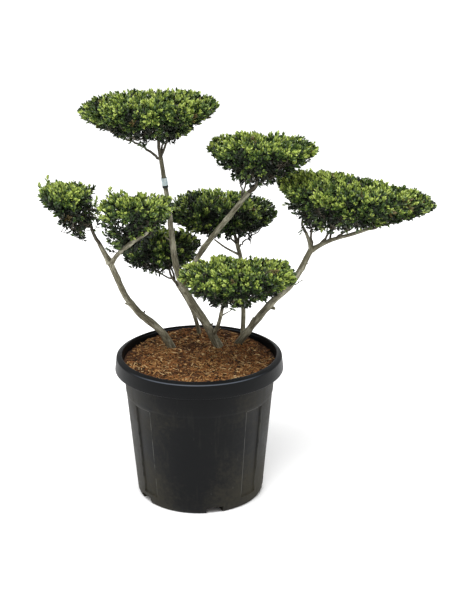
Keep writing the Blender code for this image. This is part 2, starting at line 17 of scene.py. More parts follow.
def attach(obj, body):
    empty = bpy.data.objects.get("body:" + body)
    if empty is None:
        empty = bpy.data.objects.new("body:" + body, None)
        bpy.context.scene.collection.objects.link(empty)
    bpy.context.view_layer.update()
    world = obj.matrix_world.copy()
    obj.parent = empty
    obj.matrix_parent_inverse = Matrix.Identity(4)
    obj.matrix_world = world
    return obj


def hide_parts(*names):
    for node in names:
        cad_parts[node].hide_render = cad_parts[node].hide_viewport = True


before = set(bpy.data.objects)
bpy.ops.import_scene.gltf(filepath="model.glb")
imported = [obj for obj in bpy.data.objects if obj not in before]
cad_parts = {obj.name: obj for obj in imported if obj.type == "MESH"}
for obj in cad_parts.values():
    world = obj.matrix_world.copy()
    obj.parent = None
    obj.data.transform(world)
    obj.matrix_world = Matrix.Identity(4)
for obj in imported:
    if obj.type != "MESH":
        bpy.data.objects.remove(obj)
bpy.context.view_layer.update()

# %% [markdown]
# A material in Blender is a graph of nodes, which is slow to read as code. Two small classes let
# it be written as an expression instead. A Wire wraps an output socket, and using + or * on it
# adds the Math node that does the sum. A Finish is one material, and its node method adds any
# other node: first its settings, then the values or links of its sockets.

# %% Shader maths as expressions
class Wire:
    """A node's output that can stand in a Python expression."""

    def __init__(self, finish, socket):
        self.finish = finish
        self.socket = socket

    def maths(self, operation, *values):
        return self.finish.node("ShaderNodeMath", {"operation": operation}, *values)

    def __add__(self, other):
        return self.maths("ADD", self, other)

    def __radd__(self, other):
        return self.maths("ADD", other, self)

    def __sub__(self, other):
        return self.maths("SUBTRACT", self, other)

    def __rsub__(self, other):
        return self.maths("SUBTRACT", other, self)

    def __mul__(self, other):
        return self.maths("MULTIPLY", self, other)

    def __rmul__(self, other):
        return self.maths("MULTIPLY", other, self)

    def __truediv__(self, other):
        return self.maths("DIVIDE", self, other)

    def __pow__(self, other):
        return self.maths("POWER", self, other)

    def __abs__(self):
        return self.maths("ABSOLUTE", self)

    def between(self, low, high):
        """0 below low, 1 above high, and a smooth step between them."""
        settings = {"interpolation_type": "SMOOTHSTEP"}
        return self.finish.node("ShaderNodeMapRange", settings, self, low, high, 0.0, 1.0)


class Finish:
    """One material, made from nodes and expressions on them."""

    def __init__(self, name, uniform):
        self.material = bpy.data.materials.new(name)
        self.material.use_nodes = True
        self.tree = self.material.node_tree
        self.shader = self.tree.nodes["Principled BSDF"]
        for socket, value in uniform.items():
            self.plug(self.shader.inputs[socket], value)

    def plug(self, socket, value):
        if isinstance(value, Wire):
            self.tree.links.new(value.socket, socket)
        elif socket.type == "RGBA":
            socket.default_value = (*value, 1)
        else:
            socket.default_value = value

    def node(self, kind, settings, *values, out=0, **named):
        made = self.tree.nodes.new(kind)
        for setting, value in settings.items():
            setattr(made, setting, value)
        for socket, value in zip(made.inputs, values):
            if value is not None:
                self.plug(socket, value)
        for socket, value in named.items():
            self.plug(made.inputs[socket], value)
        return Wire(self, made.outputs[out])

    def place(self):
        return self.node("ShaderNodeTexCoord", {}, out="Object")

    def attribute(self, name):
        return self.node("ShaderNodeAttribute", {"attribute_name": name}, out="Vector")

    def stretched(self, where, scale):
        return self.node("ShaderNodeMapping", {}, Vector=where, Scale=scale)

    def axis(self, where, letter):
        return self.node("ShaderNodeSeparateXYZ", {}, where, out=letter)

    def noise(self, where, scale, detail=3.0, roughness=0.5):
        return self.node(
            "ShaderNodeTexNoise", {}, Vector=where, Scale=scale, Detail=detail, Roughness=roughness)

    def cells(self, where, scale, out="Distance"):
        return self.node("ShaderNodeTexVoronoi", {}, Vector=where, Scale=scale, out=out)

    def mix(self, share, first, second):
        """A blend of two colours."""
        unused = [None] * 5
        return self.node("ShaderNodeMix", {"data_type": "RGBA"}, share, *unused, first, second, out=2)

    def bump(self, height, distance, strength=1.0):
        return self.node("ShaderNodeBump", {}, Height=height, Distance=distance, Strength=strength)

    def surface(self, colour=None, roughness=None, normal=None):
        """Feeds what changes over the surface into the shader."""
        for socket, value in (("Base Color", colour), ("Roughness", roughness), ("Normal", normal)):
            if value is not None:
                self.plug(self.shader.inputs[socket], value)
        return self.material


# %% [markdown]
# The camera stands where the photograph was taken from: three and a half metres in front, a
# little above the plant and looking down on it by 19 degrees. Its lens is given by the height of
# the picture, so the same part of the scene shows whatever the picture's width is.

# %% Camera
CAMERA_PLACE = (0.106, -3.43, 1.75)
CAMERA_LOOKS_DOWN_DEG = 19.1
PICTURE_HEIGHT_PX = 600
FOCAL_LENGTH_PX = 1325
SENSOR_MM = 36

lens = bpy.data.cameras.new("camera")
lens.sensor_fit = "VERTICAL"
lens.sensor_height = SENSOR_MM
lens.lens = FOCAL_LENGTH_PX / PICTURE_HEIGHT_PX * SENSOR_MM
camera = bpy.data.objects.new("camera", lens)
camera.location = CAMERA_PLACE
camera.rotation_euler = (math.radians(90 - CAMERA_LOOKS_DOWN_DEG), 0, 0)
bpy.context.scene.collection.objects.link(camera)
bpy.context.scene.camera = camera
bpy.context.scene.view_settings.view_transform = "Standard"
print("lens", round(lens.lens, 1), "mm")

# %% [markdown]
# The photograph is a catalogue picture on white: light comes softly from above and from the
# front, so the tops of the pads are bright, their undersides are dark, and the pot hardly throws
# a shadow. A pale sky fills in, and a broad sun, which is as wide as a studio's overhead soft box
# looks, lights the tops and keeps the floor evenly white to its far end. Two soft lights at the
# sides and behind give the leaves their gloss and the pot its pale edges.

# %% Floor, sky and lights
FLOOR_SIDE = 90.0
SKY_STRENGTH = 0.56
SUN_STRENGTH = 2.9
SUN_WIDTH_DEG = 32
SUN_COMES_FROM = (-0.30, -1.35, 3.2)
SOFT_LIGHTS = {  # place, the point that it faces, side, watts
    "light_left": ((-2.4, -1.4, 2.2), (0, 0, 0.7), 1.2, 22),
    "light_right": ((2.6, -1.2, 1.9), (0, 0, 0.6), 1.2, 20),
    "light_behind": ((0.2, 2.4, 2.6), (0, 0, 0.5), 1.4, 45),
}


def add_floor():
    bm = bmesh.new()
    bmesh.ops.create_grid(bm, x_segments=1, y_segments=1, size=FLOOR_SIDE / 2)
    bmesh.ops.translate(bm, vec=(0, 0, -0.0002), verts=bm.verts)
    mesh = bpy.data.meshes.new("floor")
    bm.to_mesh(mesh)
    bm.free()
    floor = bpy.data.objects.new("floor", mesh)
    bpy.context.scene.collection.objects.link(floor)
    paint = Finish("floor_paint", {"Roughness": 0.9, "Specular IOR Level": 0.1})
    tone = paint.noise(paint.place(), 3.0)
    mesh.materials.append(paint.surface(colour=paint.mix(tone, (0.90, 0.90, 0.90), (0.93, 0.93, 0.93))))


def add_sky():
    world = bpy.data.worlds.new("sky")
    world.use_nodes = True
    glow = world.node_tree.nodes["Background"]
    glow.inputs["Color"].default_value = (1, 1, 1, 1)
    glow.inputs["Strength"].default_value = SKY_STRENGTH
    bpy.context.scene.world = world


def add_soft_light(name, place, target, side, watts):
    light = bpy.data.lights.new(name, "AREA")
    light.size = side
    light.energy = watts
    lamp = bpy.data.objects.new(name, light)
    lamp.location = place
    lamp.rotation_euler = (Vector(target) - Vector(place)).to_track_quat("-Z", "Y").to_euler()
    bpy.context.scene.collection.objects.link(lamp)


def add_sun():
    light = bpy.data.lights.new("broad_sun", "SUN")
    light.energy = SUN_STRENGTH
    light.angle = math.radians(SUN_WIDTH_DEG)
    lamp = bpy.data.objects.new("broad_sun", light)
    lamp.rotation_euler = (-Vector(SUN_COMES_FROM)).to_track_quat("-Z", "Y").to_euler()
    bpy.context.scene.collection.objects.link(lamp)


add_floor()
add_sky()
add_sun()
for light_name, (place, target, side, watts) in SOFT_LIGHTS.items():
    add_soft_light(light_name, place, target, side, watts)
print("lights:", len(SOFT_LIGHTS))

# %% [markdown]
# Every piece is finished in the same way. Its mesh becomes an object at the origin, it gets its
# materials, it rides on the one body of the model, and the CAD nodes that it stands for are hidden.

# %% Finishing a piece
def piece_from_mesh(mesh, name, finishes, nodes=(), sharp_deg=None):
    made = bpy.data.objects.new(name, mesh)
    bpy.context.scene.collection.objects.link(made)
    for finish in finishes:
        mesh.materials.append(finish)
    mesh.shade_smooth()
    if sharp_deg:
        mesh.set_sharp_from_angle(angle=math.radians(sharp_deg))
    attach(made, "root")
    if nodes:
        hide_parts(*nodes)
    mesh.calc_loop_triangles()
    print(name, len(mesh.loop_triangles), "triangles")
    return made


def piece_from_bmesh(bm, name, finishes, nodes=(), sharp_deg=None):
    mesh = bpy.data.meshes.new(name)
    bm.to_mesh(mesh)
    bm.free()
    return piece_from_mesh(mesh, name, finishes, nodes, sharp_deg)


# %% [markdown]
# The pot is a 45 litre nursery pot of black polypropylene. It is turned: its outline is spun
# about the upright axis in steps of two degrees, so that the edges of the six shallow grooves in
# its wall fall on a step. The grooves are then pressed in as insets, and five drainage notches
# are cut out of the bottom edge with a Boolean.

# %% The pot's outline
POT_HEIGHT = 0.410
RIM_RADIUS = 0.230
RIM_BAND_HEIGHT = 0.044
RIM_LIP_WIDTH = 0.016
LIP_RISE = 0.005  # the lip slopes up from its outer edge
COLLAR_RADIUS = 0.2105
COLLAR_BOTTOM = 0.300
WALL_TOP_RADIUS = 0.2045
WALL_FOOT_RADIUS = 0.1800
BASE_RADIUS = 0.172
CORNER_HEIGHT = 0.028
WALL_THICKNESS = 0.009
FLOOR_THICKNESS = 0.015
POT_STEPS = 180
GROOVE_DEPTH = 0.0045
GROOVE_EDGE = 0.0022  # how wide the groove's sloping side is
GROOVE_LOW = 0.030
GROUND = 0.388  # the level to which the pot is filled
GROOVE_HIGH = 0.297
GROOVE_ANGLES = ((49, 17), (90, 16), (128, 16))  # middle and width in degrees, on both sides
NOTCH_COUNT = 5
NOTCH_FIRST_DEG = 14.5
NOTCH_WIDTH_DEG = 15
NOTCH_HEIGHT = 0.018
NOTCH_DEPTH = 0.036


def arc(centre, radius, start_deg, end_deg, count):
    """Points on an arc, as (distance from the axis, height)."""
    angles = [math.radians(start_deg + (end_deg - start_deg) * n / count) for n in range(count + 1)]
    return [(centre[0] + radius * math.cos(a), centre[1] + radius * math.sin(a)) for a in angles]


def wall_radius(height):
    share = (height - CORNER_HEIGHT) / (COLLAR_BOTTOM - CORNER_HEIGHT)
    return WALL_FOOT_RADIUS + (WALL_TOP_RADIUS - WALL_FOOT_RADIUS) * share


def pot_outline():
    """From the axis under the pot, round its foot, wall, collar and rim, and down inside to the floor."""
    rim_foot = POT_HEIGHT - RIM_BAND_HEIGHT
    rim_edge = POT_HEIGHT - LIP_RISE
    lip_inner = RIM_RADIUS - RIM_LIP_WIDTH
    wall = [(wall_radius(z), z) for z in (GROOVE_LOW, 0.10, 0.17, 0.24, GROOVE_HIGH)]
    return [
        (0, 0), (0.08, 0), (BASE_RADIUS - 0.03, 0),
        *arc((BASE_RADIUS - 0.001, 0.004), 0.004, -80, -20, 3),
        (BASE_RADIUS + 0.0062, 0.010),
        *wall,
        (WALL_TOP_RADIUS - 0.0001, COLLAR_BOTTOM),
        (WALL_TOP_RADIUS + 0.0005, COLLAR_BOTTOM + 0.0014),
        (WALL_TOP_RADIUS + 0.0014, COLLAR_BOTTOM + 0.006),
        (COLLAR_RADIUS - 0.0022, COLLAR_BOTTOM + 0.036),
        (COLLAR_RADIUS, rim_foot + 0.002),
        (COLLAR_RADIUS + 0.003, rim_foot - 0.001),
        *arc((RIM_RADIUS + 0.0022, rim_foot + 0.0018), 0.0020, -90, 10, 4),
        (RIM_RADIUS + 0.0030, rim_foot + 0.012),
        *arc((RIM_RADIUS - 0.0040, rim_edge - 0.0042), 0.0042, 4, 64, 4),
        *arc((lip_inner + 0.0030, POT_HEIGHT - 0.0030), 0.0030, 66, 176, 5),
        (lip_inner - 0.0025, POT_HEIGHT - 0.015),
        (lip_inner - 0.0030, GROUND - 0.003),
        (COLLAR_RADIUS - 0.005, rim_foot),
        (wall_radius(COLLAR_BOTTOM) - WALL_THICKNESS, COLLAR_BOTTOM),
        (wall_radius(FLOOR_THICKNESS) - WALL_THICKNESS - 0.003, FLOOR_THICKNESS),
        (0, FLOOR_THICKNESS),
    ]


def spun(outline, steps):
    """A closed solid of revolution about the upright axis."""
    bm = bmesh.new()
    verts = [bm.verts.new((radius, 0, height)) for radius, height in outline]
    edges = [bm.edges.new(pair) for pair in zip(verts, verts[1:])]
    bmesh.ops.spin(
        bm, geom=verts + edges, cent=(0, 0, 0), axis=(0, 0, 1), angle=2 * math.pi, steps=steps,
        use_merge=True)
    bmesh.ops.remove_doubles(bm, verts=bm.verts, dist=0.00002)
    bmesh.ops.recalc_face_normals(bm, faces=bm.faces)
    return bm


print("outline points:", len(pot_outline()))

# %% The pot's grooves and notches
def angle_from_front_deg(point):
    """Counted from the pot's front (-Y), from 0 to 180 on both sides."""
    return math.degrees(math.atan2(abs(point.x), -point.y))


def press_grooves(bm):
    """Presses the upright strips into the wall and rounds their edges."""
    for side in (-1, 1):
        for middle, width in GROOVE_ANGLES:
            strip = []
            for face in bm.faces:
                centre = face.calc_center_median()
                on_wall = GROOVE_LOW < centre.z < GROOVE_HIGH
                outside = math.hypot(centre.x, centre.y) > wall_radius(centre.z) - WALL_THICKNESS / 2
                near = abs(angle_from_front_deg(centre) - middle) < width / 2
                if on_wall and outside and near and side * centre.x > -0.02:
                    if middle != 90 or side * centre.x > 0:
                        strip.append(face)
            bmesh.ops.inset_region(
                bm, faces=strip, thickness=GROOVE_EDGE, depth=-GROOVE_DEPTH, use_even_offset=True)
            corners = {edge for face in strip for edge in face.edges}
            sharp = [edge for edge in corners if len(edge.link_faces) == 2
                     and edge.calc_face_angle(0) > math.radians(25)]
            bmesh.ops.bevel(
                bm, geom=sharp, offset=0.0009, affect="EDGES", segments=2, profile=0.5, material=-1)


def notch_cutter(angle_deg):
    """A block that takes one drainage notch out of the bottom edge."""
    outer = RIM_RADIUS
    inner = BASE_RADIUS - NOTCH_DEPTH
    bm = bmesh.new()
    bmesh.ops.create_cube(bm, size=1)
    bmesh.ops.scale(bm, vec=(1, outer - inner, 2 * NOTCH_HEIGHT), verts=bm.verts)
    bmesh.ops.translate(bm, vec=(0, -(outer + inner) / 2, 0), verts=bm.verts)
    for vert in bm.verts:
        vert.co.x *= 2 * -vert.co.y * math.tan(math.radians(NOTCH_WIDTH_DEG / 2))
    upright = [e for e in bm.edges if abs(e.verts[0].co.y - e.verts[1].co.y) > 0.01
               and e.verts[0].co.z > 0 and e.verts[1].co.z > 0]
    bmesh.ops.bevel(bm, geom=upright, offset=0.003, affect="EDGES", segments=3, profile=0.5, material=-1)
    turn = Matrix.Rotation(math.radians(angle_deg), 3, "Z")
    bmesh.ops.rotate(bm, cent=(0, 0, 0), matrix=turn, verts=bm.verts)
    mesh = bpy.data.meshes.new("notch_cutter")
    bm.to_mesh(mesh)
    bm.free()
    cutter = bpy.data.objects.new("notch_cutter", mesh)
    bpy.context.scene.collection.objects.link(cutter)
    return cutter


def cut_notches(pot_mesh):
    """Runs one Boolean for each notch and gives back the cut mesh."""
    holder = bpy.data.objects.new("pot_blank", pot_mesh)
    bpy.context.scene.collection.objects.link(holder)
    cutters = [notch_cutter(NOTCH_FIRST_DEG + 360 * n / NOTCH_COUNT) for n in range(NOTCH_COUNT)]
    for cutter in cutters:
        step = holder.modifiers.new("notch", "BOOLEAN")
        step.operation = "DIFFERENCE"
        step.solver = "EXACT"
        step.object = cutter
    graph = bpy.context.evaluated_depsgraph_get()
    cut_mesh = bpy.data.meshes.new_from_object(holder.evaluated_get(graph))
    for used in (holder, *cutters):
        bpy.data.objects.remove(used)
    return cut_mesh


# %% [markdown]
# Black nursery plastic is never quite black. It has a satin skin with a fine moulded grain, a
# film of dried potting dust that is thicker low down, and short pale scuffs. The dust and the
# scuffs are noise masks that change colour and roughness. Painted light is added to the colour:
# sheen that pales the sides together with the dust, highlights along the grooves' edges, and a
# bluish highlight along the rim's outer edge.

# %% The pot's plastic
def near(value, target, half_width):
    """1 where a shader value is at its target, and 0 from half_width away."""
    return 1 - abs(value - target).between(half_width * 0.3, half_width)


def groove_edge_highlights(plastic, where, height):
    """The grooves' edges, painted pale as highlights: the upright ones, and the short top ones."""
    sideways, away = abs(plastic.axis(where, "X")), plastic.axis(where, "Y")
    angle = sideways.maths("ARCTAN2", sideways, away * -1) * (180 / math.pi)
    upright, tops = 0, 0
    for middle, width in GROOVE_ANGLES:
        inner, outer = middle - width / 2 - 0.5, middle + width / 2 + 0.5
        upright = upright + near(angle, inner, 0.75) + near(angle, outer, 0.6) * 0.5
        tops = tops + angle.between(inner, inner + 1) * (1 - angle.between(outer - 1, outer))
    between_ends = height.between(GROOVE_LOW, GROOVE_LOW + 0.03) * (1 - height.between(GROOVE_HIGH - 0.002, GROOVE_HIGH))
    return upright * between_ends + tops * near(height, GROOVE_HIGH + 0.0005, 0.0016)


def pot_plastic():
    plastic = Finish("pot_plastic", {"Specular IOR Level": 0.12})
    where = plastic.place()
    height = plastic.axis(where, "Z")
    sideways = abs(plastic.axis(where, "X"))
    cloud = plastic.noise(where, 7.0, 5.0, 0.6)
    speckle = plastic.noise(where, 95.0, 4.0, 0.7)
    below_rim = 1 - height.between(0.350, 0.366)
    low = 1 - height.between(0.0, 0.16)
    # dust that is thicker low down, and painted sheen that grows towards the left and right sides
    dust_and_side_sheen = (cloud * 0.8 + speckle * 0.5 + low * 0.24 + sideways * 2.2).between(0.80, 1.30) * below_rim
    run_marks = plastic.noise(plastic.stretched(where, (60.0, 60.0, 5.0)), 1.0, 3.0, 0.6)
    streaks = run_marks.between(0.58, 0.72) * below_rim
    scratch_field = plastic.noise(plastic.stretched(where, (230.0, 230.0, 26.0)), 1.0, 2.0, 0.5)
    scuffs = scratch_field.between(0.72, 0.76) * cloud.between(0.5, 0.62)
    rub_field = plastic.noise(plastic.stretched(where, (34.0, 34.0, 110.0)), 1.0, 3.0, 0.6)
    rubbed = rub_field.between(0.70, 0.74) * below_rim
    # painted highlight: pale lines along the grooves' upright edges and tops
    painted_edge_highlight = groove_edge_highlights(plastic, where, height) * plastic.noise(where, 30.0, 3.0, 0.6).between(0.30, 0.55)
    rim_edge = POT_HEIGHT - LIP_RISE
    # painted highlight: a pale bluish line along the rim's outer edge, at the front only
    painted_lip_highlight = near(height, rim_edge - 0.0012, 0.0016) * (1 - sideways.between(0.10, 0.20))
    base = plastic.mix(cloud, (0.0022, 0.0027, 0.0034), (0.0050, 0.0053, 0.0056))
    dust_and_sheen_tinted = plastic.mix(dust_and_side_sheen * 0.60, base, (0.046, 0.041, 0.027))
    streaked = plastic.mix(streaks * 0.16, dust_and_sheen_tinted, (0.030, 0.029, 0.024))
    scuffed = plastic.mix(scuffs * 0.55, streaked, (0.07, 0.07, 0.066))
    wiped = plastic.mix(rubbed * 0.9, scuffed, (0.0006, 0.0007, 0.0009))
    edge_highlighted = plastic.mix(painted_edge_highlight * 0.75, wiped, (0.085, 0.085, 0.078))
    colour = plastic.mix(painted_lip_highlight * 0.8, edge_highlighted, (0.075, 0.086, 0.105))
    grain = plastic.noise(where, 900.0, 2.0, 0.5)
    waves = plastic.noise(plastic.stretched(where, (9.0, 9.0, 22.0)), 1.0, 2.0, 0.5)
    normal = plastic.bump(grain * 0.25 + waves * 1.6 - scuffs * 0.5 - rubbed * 0.3, 0.0006, 0.8)
    return plastic.surface(colour, 0.36 + cloud * 0.10 + dust_and_side_sheen * 0.25 + streaks * 0.08, normal)


pot_shape = spun(pot_outline(), POT_STEPS)
press_grooves(pot_shape)
pot_blank = bpy.data.meshes.new("pot_blank")
pot_shape.to_mesh(pot_blank)
pot_shape.free()
pot = piece_from_mesh(cut_notches(pot_blank), "pot_shell", [pot_plastic()], ["pot"], sharp_deg=32)

# %% [markdown]
# The pot is filled with shredded bark mulch. Its lumpy top is a spun disc that noise lifts into a
# low mound, and thousands of splinters, flakes and crumbs lie on it. Each kind is one small mesh
# made with bmesh operators, and numpy lays copies of it as one joined mesh, which is what the
# many small things of a plant need: one object, and no particles.

# %% Ground under the mulch
MULCH_EDGE = 0.3855
MULCH_TOP = 0.3890
MULCH_BACK_RISE = 0.019  # the mulch is banked up to the lip behind the stems
MULCH_RADIUS = 0.2105
GAP = 0.0004


def mulch_height(x, y):
    """The mound's level, with soft lumps."""
    spread = min(1.0, math.hypot(x, y) / MULCH_RADIUS)
    lumps = noise.noise(Vector((x * 28, y * 28, 3.1))) * 0.0035
    lumps += noise.noise(Vector((x * 75, y * 75, 9.7))) * 0.0020
    bank = MULCH_BACK_RISE * max(0.0, y / MULCH_RADIUS) ** 2.8
    return MULCH_EDGE + (MULCH_TOP - MULCH_EDGE) * (1 - spread ** 2) + bank + lumps * (1 - 0.5 * spread ** 6)


def make_ground():
    top = [(MULCH_RADIUS * n / 40, GROUND) for n in range(41)]
    wall_top = (COLLAR_RADIUS - 0.005 - GAP, POT_HEIGHT - RIM_BAND_HEIGHT)
    wall_low = (wall_radius(COLLAR_BOTTOM) - WALL_THICKNESS - GAP, COLLAR_BOTTOM)
    foot = (wall_radius(FLOOR_THICKNESS) - WALL_THICKNESS - 0.003 - GAP, FLOOR_THICKNESS + GAP)
    bm = spun([*top, wall_top, wall_low, foot, (0, FLOOR_THICKNESS + GAP)], 120)
    for vert in bm.verts:
        if vert.co.z > GROUND - 0.001:
            vert.co.z = mulch_height(vert.co.x, vert.co.y)
    return bm


def ground_finish():
    soil = Finish("mulch_ground", {"Specular IOR Level": 0.2, "Roughness": 0.95})
    where = soil.place()
    grains = soil.noise(where, 260.0, 4.0, 0.7)
    patches = soil.noise(where, 22.0, 3.0, 0.5)
    dark = soil.mix(patches, (0.018, 0.009, 0.005), (0.050, 0.022, 0.010))
    colour = soil.mix(grains.between(0.45, 0.7), dark, (0.13, 0.055, 0.024))
    return soil.surface(colour=colour, normal=soil.bump(grains, 0.0015))


ground = piece_from_bmesh(make_ground(), "mulch_ground", [ground_finish()], ["compost"], sharp_deg=50)

# %% Templates for small things, and sowing them
def arrays_of(bm):
    """A bmesh as two numpy arrays: its corners, and its triangles."""
    bmesh.ops.triangulate(bm, faces=bm.faces)
    bm.verts.index_update()
    points = np.array([vert.co[:] for vert in bm.verts])
    faces = np.array([[vert.index for vert in face.verts] for face in bm.faces])
    bm.free()
    return points, faces


def splinter():
    """A torn fibre of bark, a unit long, that bends and tapers."""
    bm = bmesh.new()
    bmesh.ops.create_cube(bm, size=1)
    long_edges = [e for e in bm.edges if abs(e.verts[0].co.x - e.verts[1].co.x) > 0.5]
    bmesh.ops.subdivide_edges(bm, edges=long_edges, cuts=2, use_grid_fill=True)
    for vert in bm.verts:
        x = vert.co.x
        taper = 1 - 1.1 * abs(x) ** 1.5
        vert.co.y = vert.co.y * taper + 0.6 * x * x
        vert.co.z = vert.co.z * taper + 0.9 * (0.25 - x * x)
    return arrays_of(bm)


def flake():
    """A flat chip of bark with a ragged outline."""
    bm = bmesh.new()
    bmesh.ops.create_circle(bm, cap_ends=True, segments=6, radius=0.5)
    ragged = (0.9, 1.15, 0.75, 1.1, 0.85, 1.2)
    for vert, share in zip(bm.verts, ragged):
        vert.co *= share
    grown = bmesh.ops.extrude_face_region(bm, geom=list(bm.faces))
    top = [part for part in grown["geom"] if isinstance(part, bmesh.types.BMVert)]
    bmesh.ops.translate(bm, vec=(0, 0, 1), verts=top)
    bmesh.ops.scale(bm, vec=(0.86, 0.86, 1), verts=top)
    bmesh.ops.recalc_face_normals(bm, faces=bm.faces)
    return arrays_of(bm)


def crumb():
    """A lump of rotted bark."""
    bm = bmesh.new()
    bmesh.ops.create_icosphere(bm, subdivisions=1, radius=0.5)
    for vert in bm.verts:
        vert.co *= 1 + 0.3 * noise.noise(vert.co * 5)
    return arrays_of(bm)


def sown(name, template, axes, places, tones):
    """One mesh of many copies. axes is a 3 by 3 matrix for each copy, and tones its material's number."""
    points, faces = template
    corners = np.einsum("nij,pj->npi", axes, points) + places[:, None, :]
    triangles = faces[None, :, :] + (np.arange(len(places)) * len(points))[:, None, None]
    return mesh_of(name, corners.reshape(-1, 3), triangles.reshape(-1, 3), np.repeat(tones, len(faces)))


def mesh_of(name, corners, triangles, tones):
    """A mesh from arrays of corners, triangles and material numbers."""
    mesh = bpy.data.meshes.new(name)
    mesh.vertices.add(len(corners))
    mesh.vertices.foreach_set("co", corners.astype(np.float32).ravel())
    mesh.loops.add(3 * len(triangles))
    mesh.loops.foreach_set("vertex_index", triangles.astype(np.int32).ravel())
    mesh.polygons.add(len(triangles))
    mesh.polygons.foreach_set("loop_start", np.arange(len(triangles), dtype=np.int32) * 3)
    mesh.polygons.foreach_set("material_index", tones.astype(np.int32))
    mesh.update(calc_edges=True)
    return mesh


# %% [markdown]
# The mulch in the photograph is fresh shredded bark: orange brown overall, with tan and cream
# splinters and dark hollows. Five plain colours are dealt out chip by chip, and each material
# adds a little grain of its own.

# %% Mulch chips
MULCH_COLOURS = {
    "mulch_rust": ((0.150, 0.056, 0.015), (0.250, 0.105, 0.030)),
    "mulch_brown": ((0.052, 0.022, 0.008), (0.100, 0.042, 0.014)),
    "mulch_tan": ((0.300, 0.160, 0.055), (0.420, 0.240, 0.090)),
    "mulch_cream": ((0.470, 0.310, 0.140), (0.600, 0.430, 0.220)),
    "mulch_dark": ((0.012, 0.006, 0.003), (0.028, 0.013, 0.006)),
}
MULCH_KINDS = {  # template, count, length range, width range, thickness range, shares of the colours
    "mulch_splinters": (
        splinter, 5600, (0.007, 0.024), (0.0010, 0.0026), (0.0008, 0.0018), (.42, .17, .27, .08, .06)),
    "mulch_flakes": (
        flake, 2400, (0.005, 0.013), (0.003, 0.007), (0.0010, 0.0024), (.50, .22, .16, .02, .10)),
    "mulch_crumbs": (
        crumb, 1600, (0.003, 0.006), (0.003, 0.005), (0.002, 0.004), (.40, .30, .10, .02, .18)),
}
DARK_PATCHES = (  # where more chips take the dark brown colour: a place on the mulch, and its radius
    (-0.164, 0.019, 0.026), (-0.081, 0.127, 0.024), (0.028, -0.012, 0.010), (0.060, 0.165, 0.030))


def chip_finish(name, dark, pale):
    chip = Finish(name, {"Specular IOR Level": 0.25, "Roughness": 0.85})
    fibre = chip.noise(chip.place(), 420.0, 3.0, 0.7)
    return chip.surface(colour=chip.mix(fibre.between(0.35, 0.65), dark, pale), normal=chip.bump(fibre, 0.0006))


def turned_axes(yaw, pitch, roll, sizes):
    """Rotation and size of each chip as 3 by 3 matrices."""
    found = [
        (Matrix.Rotation(a, 3, "Z") @ Matrix.Rotation(b, 3, "Y") @ Matrix.Rotation(c, 3, "X")
         @ Matrix.Diagonal(size)) for a, b, c, size in zip(yaw, pitch, roll, sizes)]
    return np.array([[row[:] for row in matrix] for matrix in found])


def sow_mulch(name, template, count, lengths, widths, depths, shares, seed):
    dice = np.random.default_rng(seed)
    spread = (MULCH_RADIUS - 0.010) * np.sqrt(dice.random(count))
    turn = dice.random(count) * 2 * math.pi
    x, y = spread * np.cos(turn), spread * np.sin(turn)
    sizes = np.stack([dice.uniform(*span, count) for span in (lengths, widths, depths)], axis=1)
    room = (MULCH_RADIUS - spread) < sizes[:, 0] / 2
    yaw = np.where(room, turn + math.pi / 2, dice.random(count) * 2 * math.pi)
    lift = dice.random(count) ** 1.5 * 0.0055 - 0.0005
    level = np.array([mulch_height(a, b) for a, b in zip(x, y)]) + lift
    axes = turned_axes(yaw, dice.normal(0, 0.24, count), dice.normal(0, 0.35, count), sizes)
    tones = dice.choice(len(shares), count, p=shares)
    deep = np.array([noise.noise(Vector((a * 14, b * 14, 5.5))) for a, b in zip(x, y)]) > 0.28
    for patch_x, patch_y, patch_radius in DARK_PATCHES:
        deep |= np.hypot(x - patch_x, y - patch_y) < patch_radius
    tones = np.where(deep & (dice.random(count) < 0.55), 1, tones)
    mesh = sown(name, template(), axes, np.stack([x, y, level], axis=1), tones)
    return piece_from_mesh(mesh, name, mulch_finishes, sharp_deg=40)


mulch_finishes = [chip_finish(name, dark, pale) for name, (dark, pale) in MULCH_COLOURS.items()]
for seed, (name, kind) in enumerate(MULCH_KINDS.items()):
    sow_mulch(name, *kind, seed + 40)

# %% [markdown]
# Stems and boughs follow the same lines as the CAD limbs. Here each one is a ring of 24 corners
# that is extruded step by step along its line, so the skin is one clean tube. Noise then swells
# and furrows the rings, knots are soft bumps, and a bough's foot widens into a collar where it
# leaves its stem. While it grows, each corner also stores where it would lie if the limb were
# straight, and the bark's streaks are drawn in that straightened space, so they run along the
# limb and have no seam.

